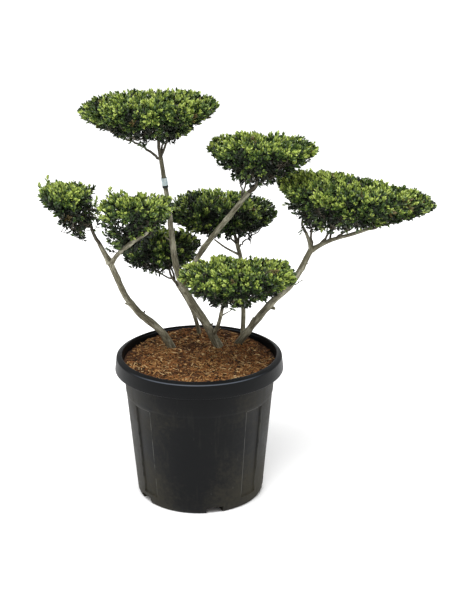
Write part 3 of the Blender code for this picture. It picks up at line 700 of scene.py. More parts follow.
# %% The limbs' lines
STEM_FOOT = GROUND + GAP
LIMBS = {  # path, radii at foot and tip, flare at the foot
    "stem_left": (
        [(-0.079, 0.079, STEM_FOOT), (-0.101, 0.063, 0.437), (-0.130, 0.050, 0.474), (-0.162, 0.036, 0.506),
         (-0.187, 0.023, 0.543), (-0.206, 0.011, 0.580), (-0.238, -0.020, 0.677)],
        (0.0112, 0.0082), 0.02),
    "stem_middle": (
        [(0.054, 0.091, STEM_FOOT), (0.012, 0.062, 0.480), (-0.045, 0.060, 0.580), (-0.068, 0.060, 0.668),
         (-0.079, 0.050, 0.795), (-0.099, 0.035, 0.953)],
        (0.0122, 0.0056), 0.05),
    "stem_right": (
        [(0.106, 0.116, STEM_FOOT), (0.191, 0.064, 0.521), (0.257, 0.045, 0.597), (0.310, 0.030, 0.703)],
        (0.0105, 0.0080), 0.02),
    "stem_back": (
        [(0.121, 0.158, STEM_FOOT), (0.123, 0.180, 0.476), (0.118, 0.220, 0.593), (0.105, 0.240, 0.652)],
        (0.0070, 0.0060), 0.08),
    "stem_slender": (
        [(-0.002, 0.178, STEM_FOOT), (-0.024, 0.148, 0.482), (-0.066, 0.152, 0.556)],
        (0.0062, 0.0046), 0.08),
    "bough_outer_left": (
        [(-0.238, -0.020, 0.677), (-0.252, -0.023, 0.704), (-0.264, -0.025, 0.730)],
        (0.0076, 0.0058), 0),
    "bough_inner_left": (
        [(-0.236, -0.018, 0.671), (-0.212, -0.062, 0.712), (-0.168, -0.114, 0.761), (-0.131, -0.128, 0.790),
         (-0.124, -0.125, 0.804)],
        (0.0064, 0.0046), 0),
    "bough_low": (
        [(0.037, 0.080, 0.430), (0.053, 0.030, 0.480), (0.064, -0.030, 0.545)],
        (0.0060, 0.0050), 0),
    "bough_upper_right": (
        [(-0.046, 0.061, 0.585), (0.010, 0.042, 0.692), (0.082, 0.020, 0.792), (0.137, 0.002, 0.866)],
        (0.0078, 0.0066), 0),
    "bough_back_side": (
        [(0.114, 0.228, 0.620), (0.072, 0.221, 0.645), (0.040, 0.212, 0.672)],
        (0.0032, 0.0024), 0),
    "bough_inner_right": (
        [(0.307, 0.030, 0.700), (0.300, 0.030, 0.724), (0.292, 0.030, 0.746)],
        (0.0050, 0.0042), 0),
    "bough_outer_right": (
        [(0.308, 0.031, 0.697), (0.357, 0.020, 0.726), (0.410, 0.008, 0.746), (0.462, -0.002, 0.766)],
        (0.0064, 0.0042), 0),
}
LIMB_SIDES = 24
RING_SPACING = 0.0035
BURIED = 0.016  # how far a stem goes on down into the mulch


def catmull(points, steps):
    """A smooth line through the points, with this many steps to a span."""
    knots = [Vector(point) for point in points]
    knots = [2 * knots[0] - knots[1]] + knots + [2 * knots[-1] - knots[-2]]
    found = []
    for before, start, end, after in zip(knots, knots[1:], knots[2:], knots[3:]):
        for step in range(steps):
            t = step / steps
            found.append(0.5 * (
                2 * start + (end - before) * t
                + (2 * before - 5 * start + 4 * end - after) * t * t
                + (3 * start - before - 3 * end + after) * t * t * t))
    found.append(knots[-2])
    return found


def limb_line(name, steps=3):
    """The limb's middle line as (point, radius)."""
    path, (foot, tip), flare = LIMBS[name]
    line = catmull(path, steps)
    shares = [number / (len(line) - 1) for number in range(len(line))]
    return [(point, (foot + (tip - foot) * share) * (1 + flare * math.exp(-share * 14)))
            for point, share in zip(line, shares)]


limb_lines = {name: limb_line(name) for name in LIMBS}
print("limbs:", len(LIMBS))

# %% Sweeping a tube and giving it bark
KNOTS = {  # limb: (level, degrees round the limb from the front, how far it stands out, how wide it is)
    "stem_right": [(0.470, -80, 0.0030, 0.009), (0.520, 70, 0.0034, 0.011), (0.585, 10, 0.0018, 0.009),
                   (0.640, 60, 0.0020, 0.009), (0.430, 40, 0.0018, 0.012)],
    "stem_left": [(0.542, 250, 0.0030, 0.009), (0.505, 60, 0.0022, 0.010), (0.455, 30, 0.0018, 0.010),
                  (0.590, 30, 0.0016, 0.009), (0.630, 80, 0.0016, 0.009), (0.420, -40, 0.0018, 0.012)],
    "stem_middle": [(0.470, 40, 0.0030, 0.012), (0.530, -40, 0.0022, 0.010), (0.580, 60, 0.0026, 0.011),
                    (0.640, -60, 0.0022, 0.011), (0.700, 20, 0.0018, 0.010), (0.760, -70, 0.0018, 0.009)],
    "stem_back": [(0.520, -90, 0.0014, 0.008)],
    "bough_upper_right": [(0.700, -50, 0.0014, 0.010), (0.790, 60, 0.0012, 0.009)],
}
STUBS = {  # limb: short cut twigs and bare sprigs on it, as their points, and the radii at foot and tip
    "stem_left": [
        ([(-0.188, 0.020, 0.540), (-0.197, 0.019, 0.543), (-0.204, 0.018, 0.547)], (0.0032, 0.0022)),
        ([(-0.160, 0.042, 0.503), (-0.155, 0.042, 0.510), (-0.151, 0.042, 0.516)], (0.0028, 0.0020))],
    "stem_right": [
        ([(0.158, 0.085, 0.466), (0.153, 0.083, 0.474), (0.150, 0.081, 0.481)], (0.0044, 0.0036)),
        ([(0.196, 0.062, 0.522), (0.204, 0.057, 0.519), (0.210, 0.053, 0.519)], (0.0052, 0.0044)),
        ([(0.288, 0.037, 0.655), (0.294, 0.034, 0.655), (0.298, 0.032, 0.657)], (0.0026, 0.0020)),
        ([(0.250, 0.048, 0.588), (0.266, 0.046, 0.592), (0.279, 0.046, 0.600), (0.292, 0.046, 0.606)],
         (0.0018, 0.0007)),
        ([(0.273, 0.046, 0.597), (0.277, 0.045, 0.606), (0.278, 0.044, 0.614)], (0.0009, 0.0005)),
        ([(0.281, 0.046, 0.601), (0.285, 0.047, 0.608), (0.286, 0.047, 0.616)], (0.0008, 0.0005)),
        ([(0.262, 0.046, 0.591), (0.270, 0.050, 0.589), (0.278, 0.052, 0.590)], (0.0008, 0.0005))],
    "bough_low": [
        ([(0.060, 0.000, 0.514), (0.072, 0.002, 0.522), (0.084, 0.004, 0.528), (0.094, 0.004, 0.536)],
         (0.0022, 0.0010))],
    "stem_middle": [
        ([(0.024, 0.070, 0.462), (0.034, 0.058, 0.470), (0.036, 0.052, 0.474)], (0.0034, 0.0026)),
        ([(-0.072, 0.056, 0.715), (-0.084, 0.050, 0.722), (-0.092, 0.046, 0.730)], (0.0024, 0.0014))],
}
COLLAR = 0.55  # how much wider a bough is where it leaves its stem
COLLAR_LENGTH = 0.011
BAND_ZONE = (0.862, 0.902)  # where the label and its tie go round the middle stem
BAND_LIMIT = 0.0070


def resampled(line, spacing):
    """The same line with rings at an even spacing, as (point, radius, distance from the foot)."""
    found = []
    walked = 0.0
    for (start, first), (end, second) in zip(line, line[1:]):
        length = (end - start).length
        count = max(1, round(length / spacing))
        for n in range(count):
            share = n / count
            found.append((start.lerp(end, share), first + (second - first) * share, walked + share * length))
        walked += length
    found.append((line[-1][0], line[-1][1], walked))
    return found


def sweep(bm, rings, sides):
    """Extrudes a ring along the rings' middles. Fills the layer named straight."""
    straight = bm.verts.layers.float_vector.get("straight") or bm.verts.layers.float_vector.new("straight")
    middles = [point for point, radius, walked in rings]
    heading = (middles[1] - middles[0]).normalized()
    turn = heading.to_track_quat("Z", "Y")
    made = bmesh.ops.create_circle(bm, segments=sides, radius=1)["verts"]
    edges = list({edge for vert in made for edge in vert.link_edges})
    last = Matrix.Identity(4)
    for number, (middle, radius, walked) in enumerate(rings):
        if number:
            after = middles[min(number + 1, len(middles) - 1)]
            ahead = (after - middles[number - 1]).normalized()
            turn = heading.rotation_difference(ahead) @ turn
            heading = ahead
            grown = bmesh.ops.extrude_edge_only(bm, edges=edges)["geom"]
            made = [part for part in grown if isinstance(part, bmesh.types.BMVert)]
            edges = [part for part in grown if isinstance(part, bmesh.types.BMEdge)]
        spot = Matrix.Translation(middle) @ turn.to_matrix().to_4x4() @ Matrix.Scale(radius, 4)
        bmesh.ops.transform(bm, matrix=spot @ last.inverted(), verts=made)
        back = spot.inverted()
        for vert in made:
            ring_place = back @ vert.co
            vert[straight] = (ring_place.x * radius, ring_place.y * radius, walked)
        last = spot
    open_edges = [edge for edge in bm.edges if edge.is_boundary]
    bmesh.ops.holes_fill(bm, edges=open_edges, sides=0)
    bmesh.ops.recalc_face_normals(bm, faces=bm.faces)
    return bm


def furrow(bm, rings, knots):
    """Lifts the skin by noise along its straightened place, and by the knots."""
    straight = bm.verts.layers.float_vector["straight"]
    middles = [point for point, radius, walked in rings]
    centres = []
    for level, degrees, lift, width in knots:
        near = min(range(len(middles)), key=lambda n: abs(middles[n].z - level))
        angle = math.radians(degrees)
        centres.append((middles[near] + rings[near][1] * Vector((math.sin(angle), -math.cos(angle), 0)), lift, width))
    moves = []
    for vert in bm.verts:
        place = Vector(vert[straight])
        fine = noise.noise(Vector((place.x * 420, place.y * 420, place.z * 55)))
        broad = noise.noise(Vector((place.x * 60, place.y * 60, place.z * 26)) + Vector((4, 9, 2)))
        ring_swell = noise.noise(Vector((0, 0, place.z * 34)))
        radius = max(0.001, math.hypot(place.x, place.y))
        lift = radius * (0.055 * fine + 0.11 * broad + 0.05 * ring_swell)
        for centre, height, width in centres:
            lift += height * math.exp(-((vert.co - centre).length / width) ** 2)
        if BAND_ZONE[0] < vert.co.z < BAND_ZONE[1] and radius < BAND_LIMIT:
            lift = min(lift, BAND_LIMIT - radius)
        moves.append(vert.normal * lift)
    for vert, move in zip(bm.verts, moves):
        vert.co += move


def collared(line, rooted):
    """The limb's line with its buried foot, or with the widening where a bough leaves its stem."""
    points = [point for point, radius in line]
    radii = [radius for point, radius in line]
    if rooted:
        down = (points[0] - points[1]).normalized()
        return [(points[0] + down * BURIED, radii[0] * 1.08), *zip(points, radii)]
    walked = 0.0
    widened = []
    for number, radius in enumerate(radii):
        if number:
            walked += (points[number] - points[number - 1]).length
        widened.append(radius * (1 + COLLAR * math.exp(-walked / COLLAR_LENGTH)))
    return list(zip(points, widened))


# %% [markdown]
# The bark is smooth and grey brown, with an olive cast, paler grey patches, dark streaks along
# the limb and small rust specks. The streaks are noise that is stretched along the straightened
# limb.

# %% Bark
def bark_finish(name, dark, middle, pale, rust):
    bark = Finish(name, {"Specular IOR Level": 0.3})
    along = bark.attribute("straight")
    streaks = bark.noise(bark.stretched(along, (520.0, 520.0, 34.0)), 1.0, 4.0, 0.65)
    patches = bark.noise(bark.stretched(along, (70.0, 70.0, 24.0)), 1.0, 4.0, 0.6)
    specks = bark.noise(bark.place(), 520.0, 2.0, 0.5)
    rings = bark.noise(bark.stretched(along, (8.0, 8.0, 150.0)), 1.0, 2.0, 0.5)
    base = bark.mix(streaks.between(0.35, 0.62), dark, middle)
    patched = bark.mix(patches.between(0.46, 0.66) * 0.85, base, pale)
    marked = bark.mix(rings.between(0.60, 0.68) * 0.30, patched, dark)
    colour = bark.mix((specks * patches).between(0.36, 0.44) * 0.30, marked, rust)
    height = streaks * 1.0 + patches * 0.6 + specks * 0.3 + rings * 0.3
    return bark.surface(colour, 0.72 + patches * 0.15, bark.bump(height, 0.0016))


bark = bark_finish(
    "bark", (0.066, 0.058, 0.037), (0.205, 0.190, 0.126), (0.420, 0.405, 0.305), (0.26, 0.115, 0.042))


def grow_limb(name):
    rooted = name.startswith("stem")
    rings = resampled(collared(limb_line(name, 10), rooted), RING_SPACING)
    bm = sweep(bmesh.new(), rings, LIMB_SIDES)
    bm.normal_update()
    furrow(bm, rings, KNOTS.get(name, []))
    for points, (foot, tip) in STUBS.get(name, []):
        spots = catmull(points, 3)
        stub = [(spot, foot + (tip - foot) * number / (len(spots) - 1)) for number, spot in enumerate(spots)]
        sweep(bm, resampled(stub, 0.004), 10)
    bmesh.ops.recalc_face_normals(bm, faces=bm.faces)
    return piece_from_bmesh(bm, name + "_bark", [bark], [name], sharp_deg=60)


for limb_name in LIMBS:
    grow_limb(limb_name)

# %% [markdown]
# The clouds of foliage follow the source's rule. A pad is a flat dome over a tapering underside.
# Its own stem rises from its limb, ribs fan out from that, branches from the ribs, and leafy
# shoots from the branches, ending at the clipped surface. The shape is written with numpy, so one
# call works out thousands of points.

# %% The pads' shape
PADS = {  # middle, half width and depth, rise, drop, fall, bowl, limb, keel, hub, seed
    "pad_top_left": dict(
        middle=(-0.127, 0.020, 1.084), half=(0.191, 0.152), rise=0.050, drop=0.112, fall=-0.03, bowl=1.6,
        limb="stem_middle", keel=(-0.120, 0.033), hub=(-0.104, 0.033), seed=11),
    "pad_outer_left": dict(
        middle=(-0.342, -0.030, 0.862), half=(0.083, 0.098), rise=0.047, drop=0.130, fall=0.06, bowl=1.6,
        limb="bough_outer_left", keel=(-0.275, -0.027), hub=(-0.292, -0.028), seed=12),
    "pad_inner_left": dict(
        middle=(-0.152, -0.090, 0.850), half=(0.104, 0.100), rise=0.044, drop=0.140, fall=0.00, bowl=2.0,
        limb="bough_inner_left", keel=(-0.222, -0.045), hub=(-0.136, -0.090), seed=13),
    "pad_low_left": dict(
        middle=(-0.120, 0.205, 0.656), half=(0.127, 0.108), rise=0.046, drop=0.080, fall=0.00, bowl=3.0,
        limb="stem_slender", keel=(-0.100, 0.185), hub=(-0.100, 0.190), seed=14),
    "pad_back": dict(
        middle=(0.059, 0.270, 0.736), half=(0.162, 0.132), rise=0.068, drop=0.078, fall=0.00, bowl=2.3,
        limb="stem_back", keel=(0.096, 0.248), hub=(0.092, 0.252), seed=15),
    "pad_upper_right": dict(
        middle=(0.174, 0.000, 0.984), half=(0.150, 0.124), rise=0.045, drop=0.108, fall=0.01, bowl=2.0,
        limb="bough_upper_right", keel=(0.145, 0.000), hub=(0.158, 0.000), seed=16),
    "pad_right": dict(
        middle=(0.421, 0.020, 0.858), half=(0.223, 0.160), rise=0.040, drop=0.132, fall=0.150, bowl=1.75,
        limb="bough_inner_right", keel=(0.300, 0.028), hub=(0.300, 0.028), seed=17),
    "pad_low_front": dict(
        middle=(0.109, -0.094, 0.666), half=(0.166, 0.128), rise=0.043, drop=0.104, fall=-0.02, bowl=2.1,
        limb="bough_low", keel=(0.084, -0.060), hub=(0.086, -0.070), seed=18),
}
TRIMS = {  # hollows in a pad's top: the place across it, the width, the depth
    "pad_outer_left": [(-0.10, 0.50, 0.009)],
    "pad_inner_left": [(0.30, 0.50, 0.012), (-0.25, 0.10, 0.008)],
    "pad_back": [(0.45, 0.60, 0.008)],
    "pad_upper_right": [(0.20, 0.90, 0.003), (0.02, 0.12, 0.007)],
    "pad_right": [(0.20, 0.50, 0.006)],
    "pad_low_front": [(0.02, 0.10, 0.016), (0.35, 0.30, 0.006)],
}
CORE_SIDE = 0.016
CORE_TOP = 0.013
CORE_UNDER = 0.014
DOME_FLATNESS = 3.4
GOLDEN_ANGLE = math.pi * (3 - math.sqrt(5))


def outline_share(pad, angle):
    """How far the pad's outline stands at this angle, against its plain ellipse."""
    seed = pad["seed"]
    return 1.0 + 0.016 * np.sin(2 * angle + seed) + 0.014 * np.sin(3 * angle + 2.3 * seed)


def way_out(x, y, keel_x, keel_y):
    """How far (x, y) lies on the way from the keel to the unit circle, from 0 to 1."""
    dx, dy = x - keel_x, y - keel_y
    square = np.maximum(dx * dx + dy * dy, 1e-9)
    slope = keel_x * dx + keel_y * dy
    left = keel_x * keel_x + keel_y * keel_y - 1
    return np.minimum(1.0, square / (-slope + np.sqrt(np.maximum(0.0, slope * slope - square * left))))


def pad_points(pad, x, y, up, depth=0.0):
    """Points on the pad's surface over (x, y) in the unit circle of its plan. depth 1 is the core's."""
    middle = pad["middle"]
    bulge = outline_share(pad, np.arctan2(y, x))
    px = x * (pad["half"][0] - CORE_SIDE * depth) * bulge
    py = y * (pad["half"][1] - CORE_SIDE * depth) * bulge
    spread = np.minimum(1.0, np.hypot(x, y))
    dome = (pad["rise"] - CORE_TOP * depth) * (1 - spread ** DOME_FLATNESS) ** 0.5
    for trim_at, trim_width, trim_depth in pad.get("trims", []):
        dome = np.maximum(0.0, dome - trim_depth * np.exp(-((x - trim_at) / trim_width) ** 2))
    keel_x = (pad["keel"][0] - middle[0]) / pad["half"][0]
    keel_y = (pad["keel"][1] - middle[1]) / pad["half"][1]
    share = way_out(x, y, keel_x, keel_y)
    under = -(pad["drop"] - CORE_UNDER * depth) * (1 - share ** pad["bowl"])
    level = np.where(up, dome, under) - pad["fall"] * px
    return np.stack([middle[0] + px, middle[1] + py, middle[2] + level], axis=-1)


def inside_pad(pad, points, room):
    """True for each point that lies within the pad, or within room outside it."""
    middle = pad["middle"]
    x = (points[:, 0] - middle[0]) / (pad["half"][0] + room)
    y = (points[:, 1] - middle[1]) / (pad["half"][1] + room)
    bulge = outline_share(pad, np.arctan2(y, x))
    x, y = x / bulge, y / bulge
    low = pad_points(pad, x, y, False)[:, 2] - room
    high = pad_points(pad, x, y, True)[:, 2] + room
    return (np.hypot(x, y) < 1) & (points[:, 2] > low) & (points[:, 2] < high)


def limb_distance(points, lines):
    """How far each point is from the nearest limb's bark."""
    nearest = np.full(len(points), 1.0)
    for line in lines:
        for (start, radius), (end, _) in zip(line, line[1:]):
            along = np.array(end - start)
            share = np.clip((points - np.array(start)) @ along / (along @ along), 0, 1)
            middle = np.array(start) + share[:, None] * along
            nearest = np.minimum(nearest, np.linalg.norm(points - middle, axis=1) - radius)
    return nearest


for trimmed, trims in TRIMS.items():
    PADS[trimmed]["trims"] = trims
print("pads:", len(PADS))

# %% [markdown]
# Twigs come in four orders. The pad's stem and its ribs are swept like the limbs, because they
# are thick enough to see as round. Finer branches and shoots are three-sided tapering prisms,
# laid by the thousand from one template. Each shoot starts from the nearest branch, and each
# branch from the nearest rib, so the whole cloud hangs together.

# %% Stem, ribs and branches of a pad
RIBS = 6
RIB_RADIUS = 0.0040
FINE_RIBS = 8
BRANCHES_PER_SQUARE_METRE = 1800
SHOOTS_PER_SQUARE_METRE = 13500
INNER_SHOOTS_PER_SQUARE_METRE = 4200
# the inner layer's leaves are dealt the darkest colours, as painted shade inside the pad
FILLING = {  # how much of the dark inner layer each pad has, less where the photo shows sky through it
    "pad_top_left": 0.9, "pad_outer_left": 0.6, "pad_inner_left": 0.6, "pad_low_left": 0.35,
    "pad_back": 0.7, "pad_upper_right": 0.8, "pad_right": 1.0, "pad_low_front": 0.8,
}
BRANCH_RADII = (0.0021, 0.0014)
SHOOT_RADII = (0.0011, 0.0006)
SEEN_RIBS = {  # the bare ribs that show under the pads: the points they run through, radii at foot and tip
    "pad_top_left": [
        ([(-0.098, 0.035, 0.944), (-0.112, 0.035, 0.955), (-0.143, 0.030, 0.982), (-0.174, 0.022, 0.999),
          (-0.215, 0.010, 1.024), (-0.262, 0.000, 1.048)], (0.0042, 0.0016)),
        ([(-0.099, 0.035, 0.952), (-0.083, 0.030, 0.989), (-0.051, 0.020, 1.016), (-0.010, 0.012, 1.036)],
         (0.0036, 0.0015)),
        ([(-0.099, 0.036, 0.950), (-0.092, 0.060, 0.990), (-0.088, 0.095, 1.026)], (0.0034, 0.0016))],
    "pad_low_left": [
        ([(-0.055, 0.150, 0.545), (-0.076, 0.154, 0.568), (-0.103, 0.160, 0.583), (-0.135, 0.170, 0.600),
          (-0.168, 0.178, 0.616)], (0.0034, 0.0014)),
        ([(-0.064, 0.152, 0.552), (-0.090, 0.178, 0.606), (-0.110, 0.200, 0.636)], (0.0036, 0.0018))],
    "pad_back": [
        ([(0.107, 0.238, 0.638), (0.084, 0.245, 0.674), (0.060, 0.252, 0.700)], (0.0036, 0.0018)),
        ([(0.106, 0.240, 0.646), (0.110, 0.252, 0.676), (0.106, 0.264, 0.704)], (0.0040, 0.0020)),
        ([(0.109, 0.238, 0.640), (0.122, 0.240, 0.655), (0.142, 0.246, 0.670), (0.170, 0.250, 0.690)],
         (0.0030, 0.0015))],
    "pad_upper_right": [
        ([(0.118, 0.008, 0.838), (0.119, 0.006, 0.868), (0.113, 0.002, 0.898), (0.102, -0.006, 0.926)],
         (0.0028, 0.0015)),
        ([(0.124, 0.006, 0.848), (0.127, 0.000, 0.894), (0.131, -0.010, 0.930)], (0.0028, 0.0016)),
        ([(0.137, 0.002, 0.864), (0.150, 0.002, 0.884), (0.176, -0.002, 0.899), (0.214, -0.008, 0.916)],
         (0.0048, 0.0020))],
    "pad_right": [
        ([(0.308, 0.030, 0.704), (0.306, 0.032, 0.752), (0.298, 0.036, 0.786)], (0.0040, 0.0020)),
        ([(0.322, 0.028, 0.706), (0.340, 0.027, 0.724), (0.360, 0.020, 0.757), (0.384, 0.014, 0.790)],
         (0.0044, 0.0020)),
        ([(0.372, 0.015, 0.733), (0.392, 0.010, 0.750), (0.422, 0.004, 0.772), (0.458, 0.000, 0.796)],
         (0.0038, 0.0018)),
        ([(0.455, -0.001, 0.764), (0.500, -0.006, 0.778), (0.548, -0.006, 0.794), (0.594, 0.000, 0.812)],
         (0.0042, 0.0014)),
        ([(0.350, 0.022, 0.724), (0.372, 0.060, 0.752), (0.400, 0.098, 0.790)], (0.0036, 0.0016))],
}


SPRIGS = {  # the stray leafy sprigs that stand out of the pads: foot and tip
    "pad_outer_left": [
        ((-0.395, -0.030, 0.888), (-0.393, -0.030, 0.918)), ((-0.409, -0.030, 0.870), (-0.417, -0.030, 0.898)),
        ((-0.353, -0.050, 0.835), (-0.390, -0.050, 0.830)), ((-0.350, -0.050, 0.820), (-0.378, -0.050, 0.820)),
        ((-0.337, -0.050, 0.802), (-0.368, -0.050, 0.791)), ((-0.279, -0.030, 0.877), (-0.272, -0.030, 0.893)),
        ((-0.270, -0.060, 0.837), (-0.262, -0.060, 0.870)), ((-0.263, -0.070, 0.818), (-0.255, -0.070, 0.848)),
        ((-0.270, -0.040, 0.780), (-0.258, -0.045, 0.808))],
    "pad_inner_left": [
        ((-0.227, -0.080, 0.828), (-0.245, -0.080, 0.860)), ((-0.230, -0.080, 0.850), (-0.223, -0.080, 0.900)),
        ((-0.222, -0.080, 0.864), (-0.239, -0.080, 0.879)), ((-0.212, -0.080, 0.864), (-0.193, -0.080, 0.893)),
        ((-0.242, -0.080, 0.799), (-0.255, -0.080, 0.828)), ((-0.231, -0.080, 0.810), (-0.240, -0.080, 0.836)),
        ((-0.240, -0.070, 0.777), (-0.250, -0.070, 0.805)), ((-0.219, -0.080, 0.836), (-0.226, -0.080, 0.854)),
        ((-0.222, -0.060, 0.730), (-0.240, -0.055, 0.754)), ((-0.224, -0.060, 0.745), (-0.250, -0.060, 0.772)),
        ((-0.204, -0.070, 0.740), (-0.221, -0.075, 0.780)), ((-0.215, -0.050, 0.712), (-0.246, -0.045, 0.722)),
        ((-0.200, -0.080, 0.770), (-0.232, -0.080, 0.790))],
    "pad_low_left": [
        ((-0.184, 0.150, 0.628), (-0.212, 0.150, 0.626)), ((-0.176, 0.150, 0.611), (-0.202, 0.150, 0.609)),
        ((-0.199, 0.150, 0.649), (-0.217, 0.150, 0.651)), ((-0.149, 0.150, 0.606), (-0.137, 0.150, 0.590)),
        ((-0.025, 0.150, 0.669), (0.001, 0.150, 0.674)), ((-0.034, 0.120, 0.715), (-0.055, 0.110, 0.735))],
    "pad_top_left": [
        ((-0.171, 0.020, 1.112), (-0.162, 0.020, 1.138)), ((-0.196, 0.000, 1.014), (-0.209, 0.000, 1.016)),
        ((-0.042, 0.000, 1.018), (-0.019, 0.000, 1.030)), ((-0.066, 0.000, 1.003), (-0.058, 0.000, 0.996)),
        ((-0.017, 0.000, 1.050), (0.006, 0.000, 1.056))],
    "pad_upper_right": [
        ((0.280, 0.000, 0.948), (0.298, 0.000, 0.953)), ((0.143, 0.000, 0.893), (0.172, 0.000, 0.884))],
    "pad_right": [
        ((0.521, 0.000, 0.789), (0.530, 0.000, 0.782)), ((0.282, 0.000, 0.768), (0.276, 0.000, 0.750)),
        ((0.240, 0.000, 0.833), (0.227, 0.000, 0.831))],
    "pad_low_front": [
        ((0.056, -0.100, 0.588), (0.029, -0.100, 0.583)), ((0.123, -0.100, 0.592), (0.140, -0.100, 0.575)),
        ((0.102, -0.100, 0.588), (0.110, -0.100, 0.578)), ((0.031, -0.100, 0.620), (0.011, -0.100, 0.609)),
        ((0.172, -0.100, 0.602), (0.183, -0.100, 0.588))],
}
# a shoot's sunk depth darkens its colour, as painted shade
SPRIG_SUNK = 0.006  # sprigs take their colour as if they were this far below the clipped surface


def clear_of_limbs(start, end, lines, room):
    steps = np.array([start.lerp(end, share)[:] for share in (0.0, 0.35, 0.7, 1.0)])
    return limb_distance(steps, lines).min() > room


def pad_stem(pad):
    """The points of the pad's own stem: its limb's tip, its bend and its hub."""
    (before, _), (tip, tip_radius) = limb_lines[pad["limb"]][-2:]
    ahead = (tip - before).normalized()
    start = tip + ahead * GAP
    hub = Vector((*pad["hub"], pad["middle"][2] - 0.15 * pad["drop"]))
    bend = start + ahead * 0.35 * (hub - start).length
    return start, bend, hub, ahead, tip_radius


def pad_ribs(pad, dice):
    """The ribs of the source, and finer ones between them, as lists of three points and two radii."""
    start, bend, hub, _, _ = pad_stem(pad)
    others = [line for name, line in limb_lines.items() if name != pad["limb"]]
    own = [limb_lines[pad["limb"]]]
    found = []
    for number in range(RIBS + FINE_RIBS):
        coarse = number < RIBS
        count = RIBS if coarse else FINE_RIBS
        angle = 2 * math.pi * (number + dice.uniform(-0.2, 0.2)) / count + (0 if coarse else 0.4)
        x, y = math.cos(angle), math.sin(angle)
        near_share, far_share = (0.40, 0.78) if coarse else (0.30, 0.66)
        near = Vector(pad_points(pad, near_share * x, near_share * y, False, 1.4))
        far = Vector(pad_points(pad, far_share * x, far_share * y, False, 1.8))
        fork = bend.lerp(hub, dice.uniform(0.1, 0.5) if coarse else dice.uniform(0.5, 1.0))
        thick = RIB_RADIUS * (0.9 if coarse else 0.55)
        clear = clear_of_limbs(fork, near, others, 2 * RIB_RADIUS)
        if clear and clear_of_limbs(fork, near, own, 1.2 * RIB_RADIUS):
            found.append(([fork, near, far], [thick, thick * 0.7, thick * 0.45]))
    return found


def seen_ribs(name):
    return [([Vector(point) for point in path], list(radii)) for path, radii in SEEN_RIBS.get(name, [])]


def crooked(points, radii, dice, wander):
    """A line with a few bends of its own between the given points."""
    line = catmull(points, 4)
    found = []
    for number, point in enumerate(line):
        share = number / (len(line) - 1)
        radius = radii[0] + (radii[-1] - radii[0]) * share
        if 0 < number < len(line) - 1:
            point = point + Vector([dice.uniform(-wander, wander) for _ in range(3)])
        found.append((point, radius))
    return found


def field(points, bumps_per_metre, upright=1.0):
    """Smooth noise at each point, from about -0.6 to 0.6. A low value of upright stretches it upwards."""
    scaled = points * np.array([1, 1, upright]) * bumps_per_metre
    return np.array([noise.noise(Vector(point)) for point in scaled])


def golden_spots(count):
    """Points spread evenly over a ball, as their plan and whether they are on its upper half."""
    number = np.arange(count)
    height = 1 - 2 * (number + 0.5) / count
    spread = np.sqrt(1 - height * height)
    return spread * np.cos(number * GOLDEN_ANGLE), spread * np.sin(number * GOLDEN_ANGLE), height > 0


def unit(vectors):
    return vectors / np.maximum(np.linalg.norm(vectors, axis=-1, keepdims=True), 1e-9)


def twig_template():
    """An open three-sided prism: three corners at the foot, then three at the tip."""
    bm = bmesh.new()
    bmesh.ops.create_cone(bm, segments=3, radius1=1, radius2=1, depth=1)
    bmesh.ops.translate(bm, vec=(0, 0, 0.5), verts=bm.verts)
    return arrays_of(bm)


def prisms(starts, ends, foot_radii, tip_radii):
    """Corners and triangles of one tapering prism for each start and end."""
    points, faces = twig_template()
    along = ends - starts
    heading = unit(along)
    helper = np.where(np.abs(heading[:, 2:3]) < 0.9, np.array([[0, 0, 1.0]]), np.array([[1.0, 0, 0]]))
    side = unit(np.cross(heading, helper))
    front = np.cross(side, heading)
    high = points[None, :, 2]
    radius = foot_radii[:, None] * (1 - high) + tip_radii[:, None] * high
    corners = (
        starts[:, None, :] + along[:, None, :] * high[:, :, None]
        + side[:, None, :] * (points[None, :, 0] * radius)[:, :, None]
        + front[:, None, :] * (points[None, :, 1] * radius)[:, :, None])
    triangles = faces[None, :, :] + (np.arange(len(starts)) * len(points))[:, None, None]
    return corners.reshape(-1, 3), triangles.reshape(-1, 3)


print("twig template triangles:", len(twig_template()[1]))

# %% [markdown]
# A leaf is a small blade of eight triangles. It starts as a grid of three by two faces, which is
# drawn in to a point at its foot and its tip, folded along its midrib and curled down at its
# edges, because this holly's leaves are convex. Leaves sit on a shoot in a spiral of 137.5
# degrees, close together, the old ones wide open and the young ones at the tip nearly upright.

# %% Leaf and shoots
LEAF_LENGTH = (0.0120, 0.0178)
LEAF_WIDTH_SHARE = 0.46
LEAVES_ON_SHOOT = 10
LEAF_STEP = 0.0027
LEAF_REACH = 0.006
TURN_PER_LEAF = math.radians(137.5)


def leaf_template():
    """A convex leaf, a unit long from its foot at the origin along +X, with +Z as its upper side."""
    bm = bmesh.new()
    bmesh.ops.create_grid(bm, x_segments=3, y_segments=2, size=0.5)
    for vert in bm.verts:
        share = vert.co.x + 0.5
        side = 2 * vert.co.y
        half = LEAF_WIDTH_SHARE / 2 * math.sin(math.pi * share ** 1.15) ** 0.7 if 0 < share < 1 else 0
        vert.co = (share, side * half, 0.10 - 0.42 * (share - 0.5) ** 2 - 0.45 * half * side * side)
    bmesh.ops.remove_doubles(bm, verts=bm.verts, dist=0.0001)
    return arrays_of(bm)


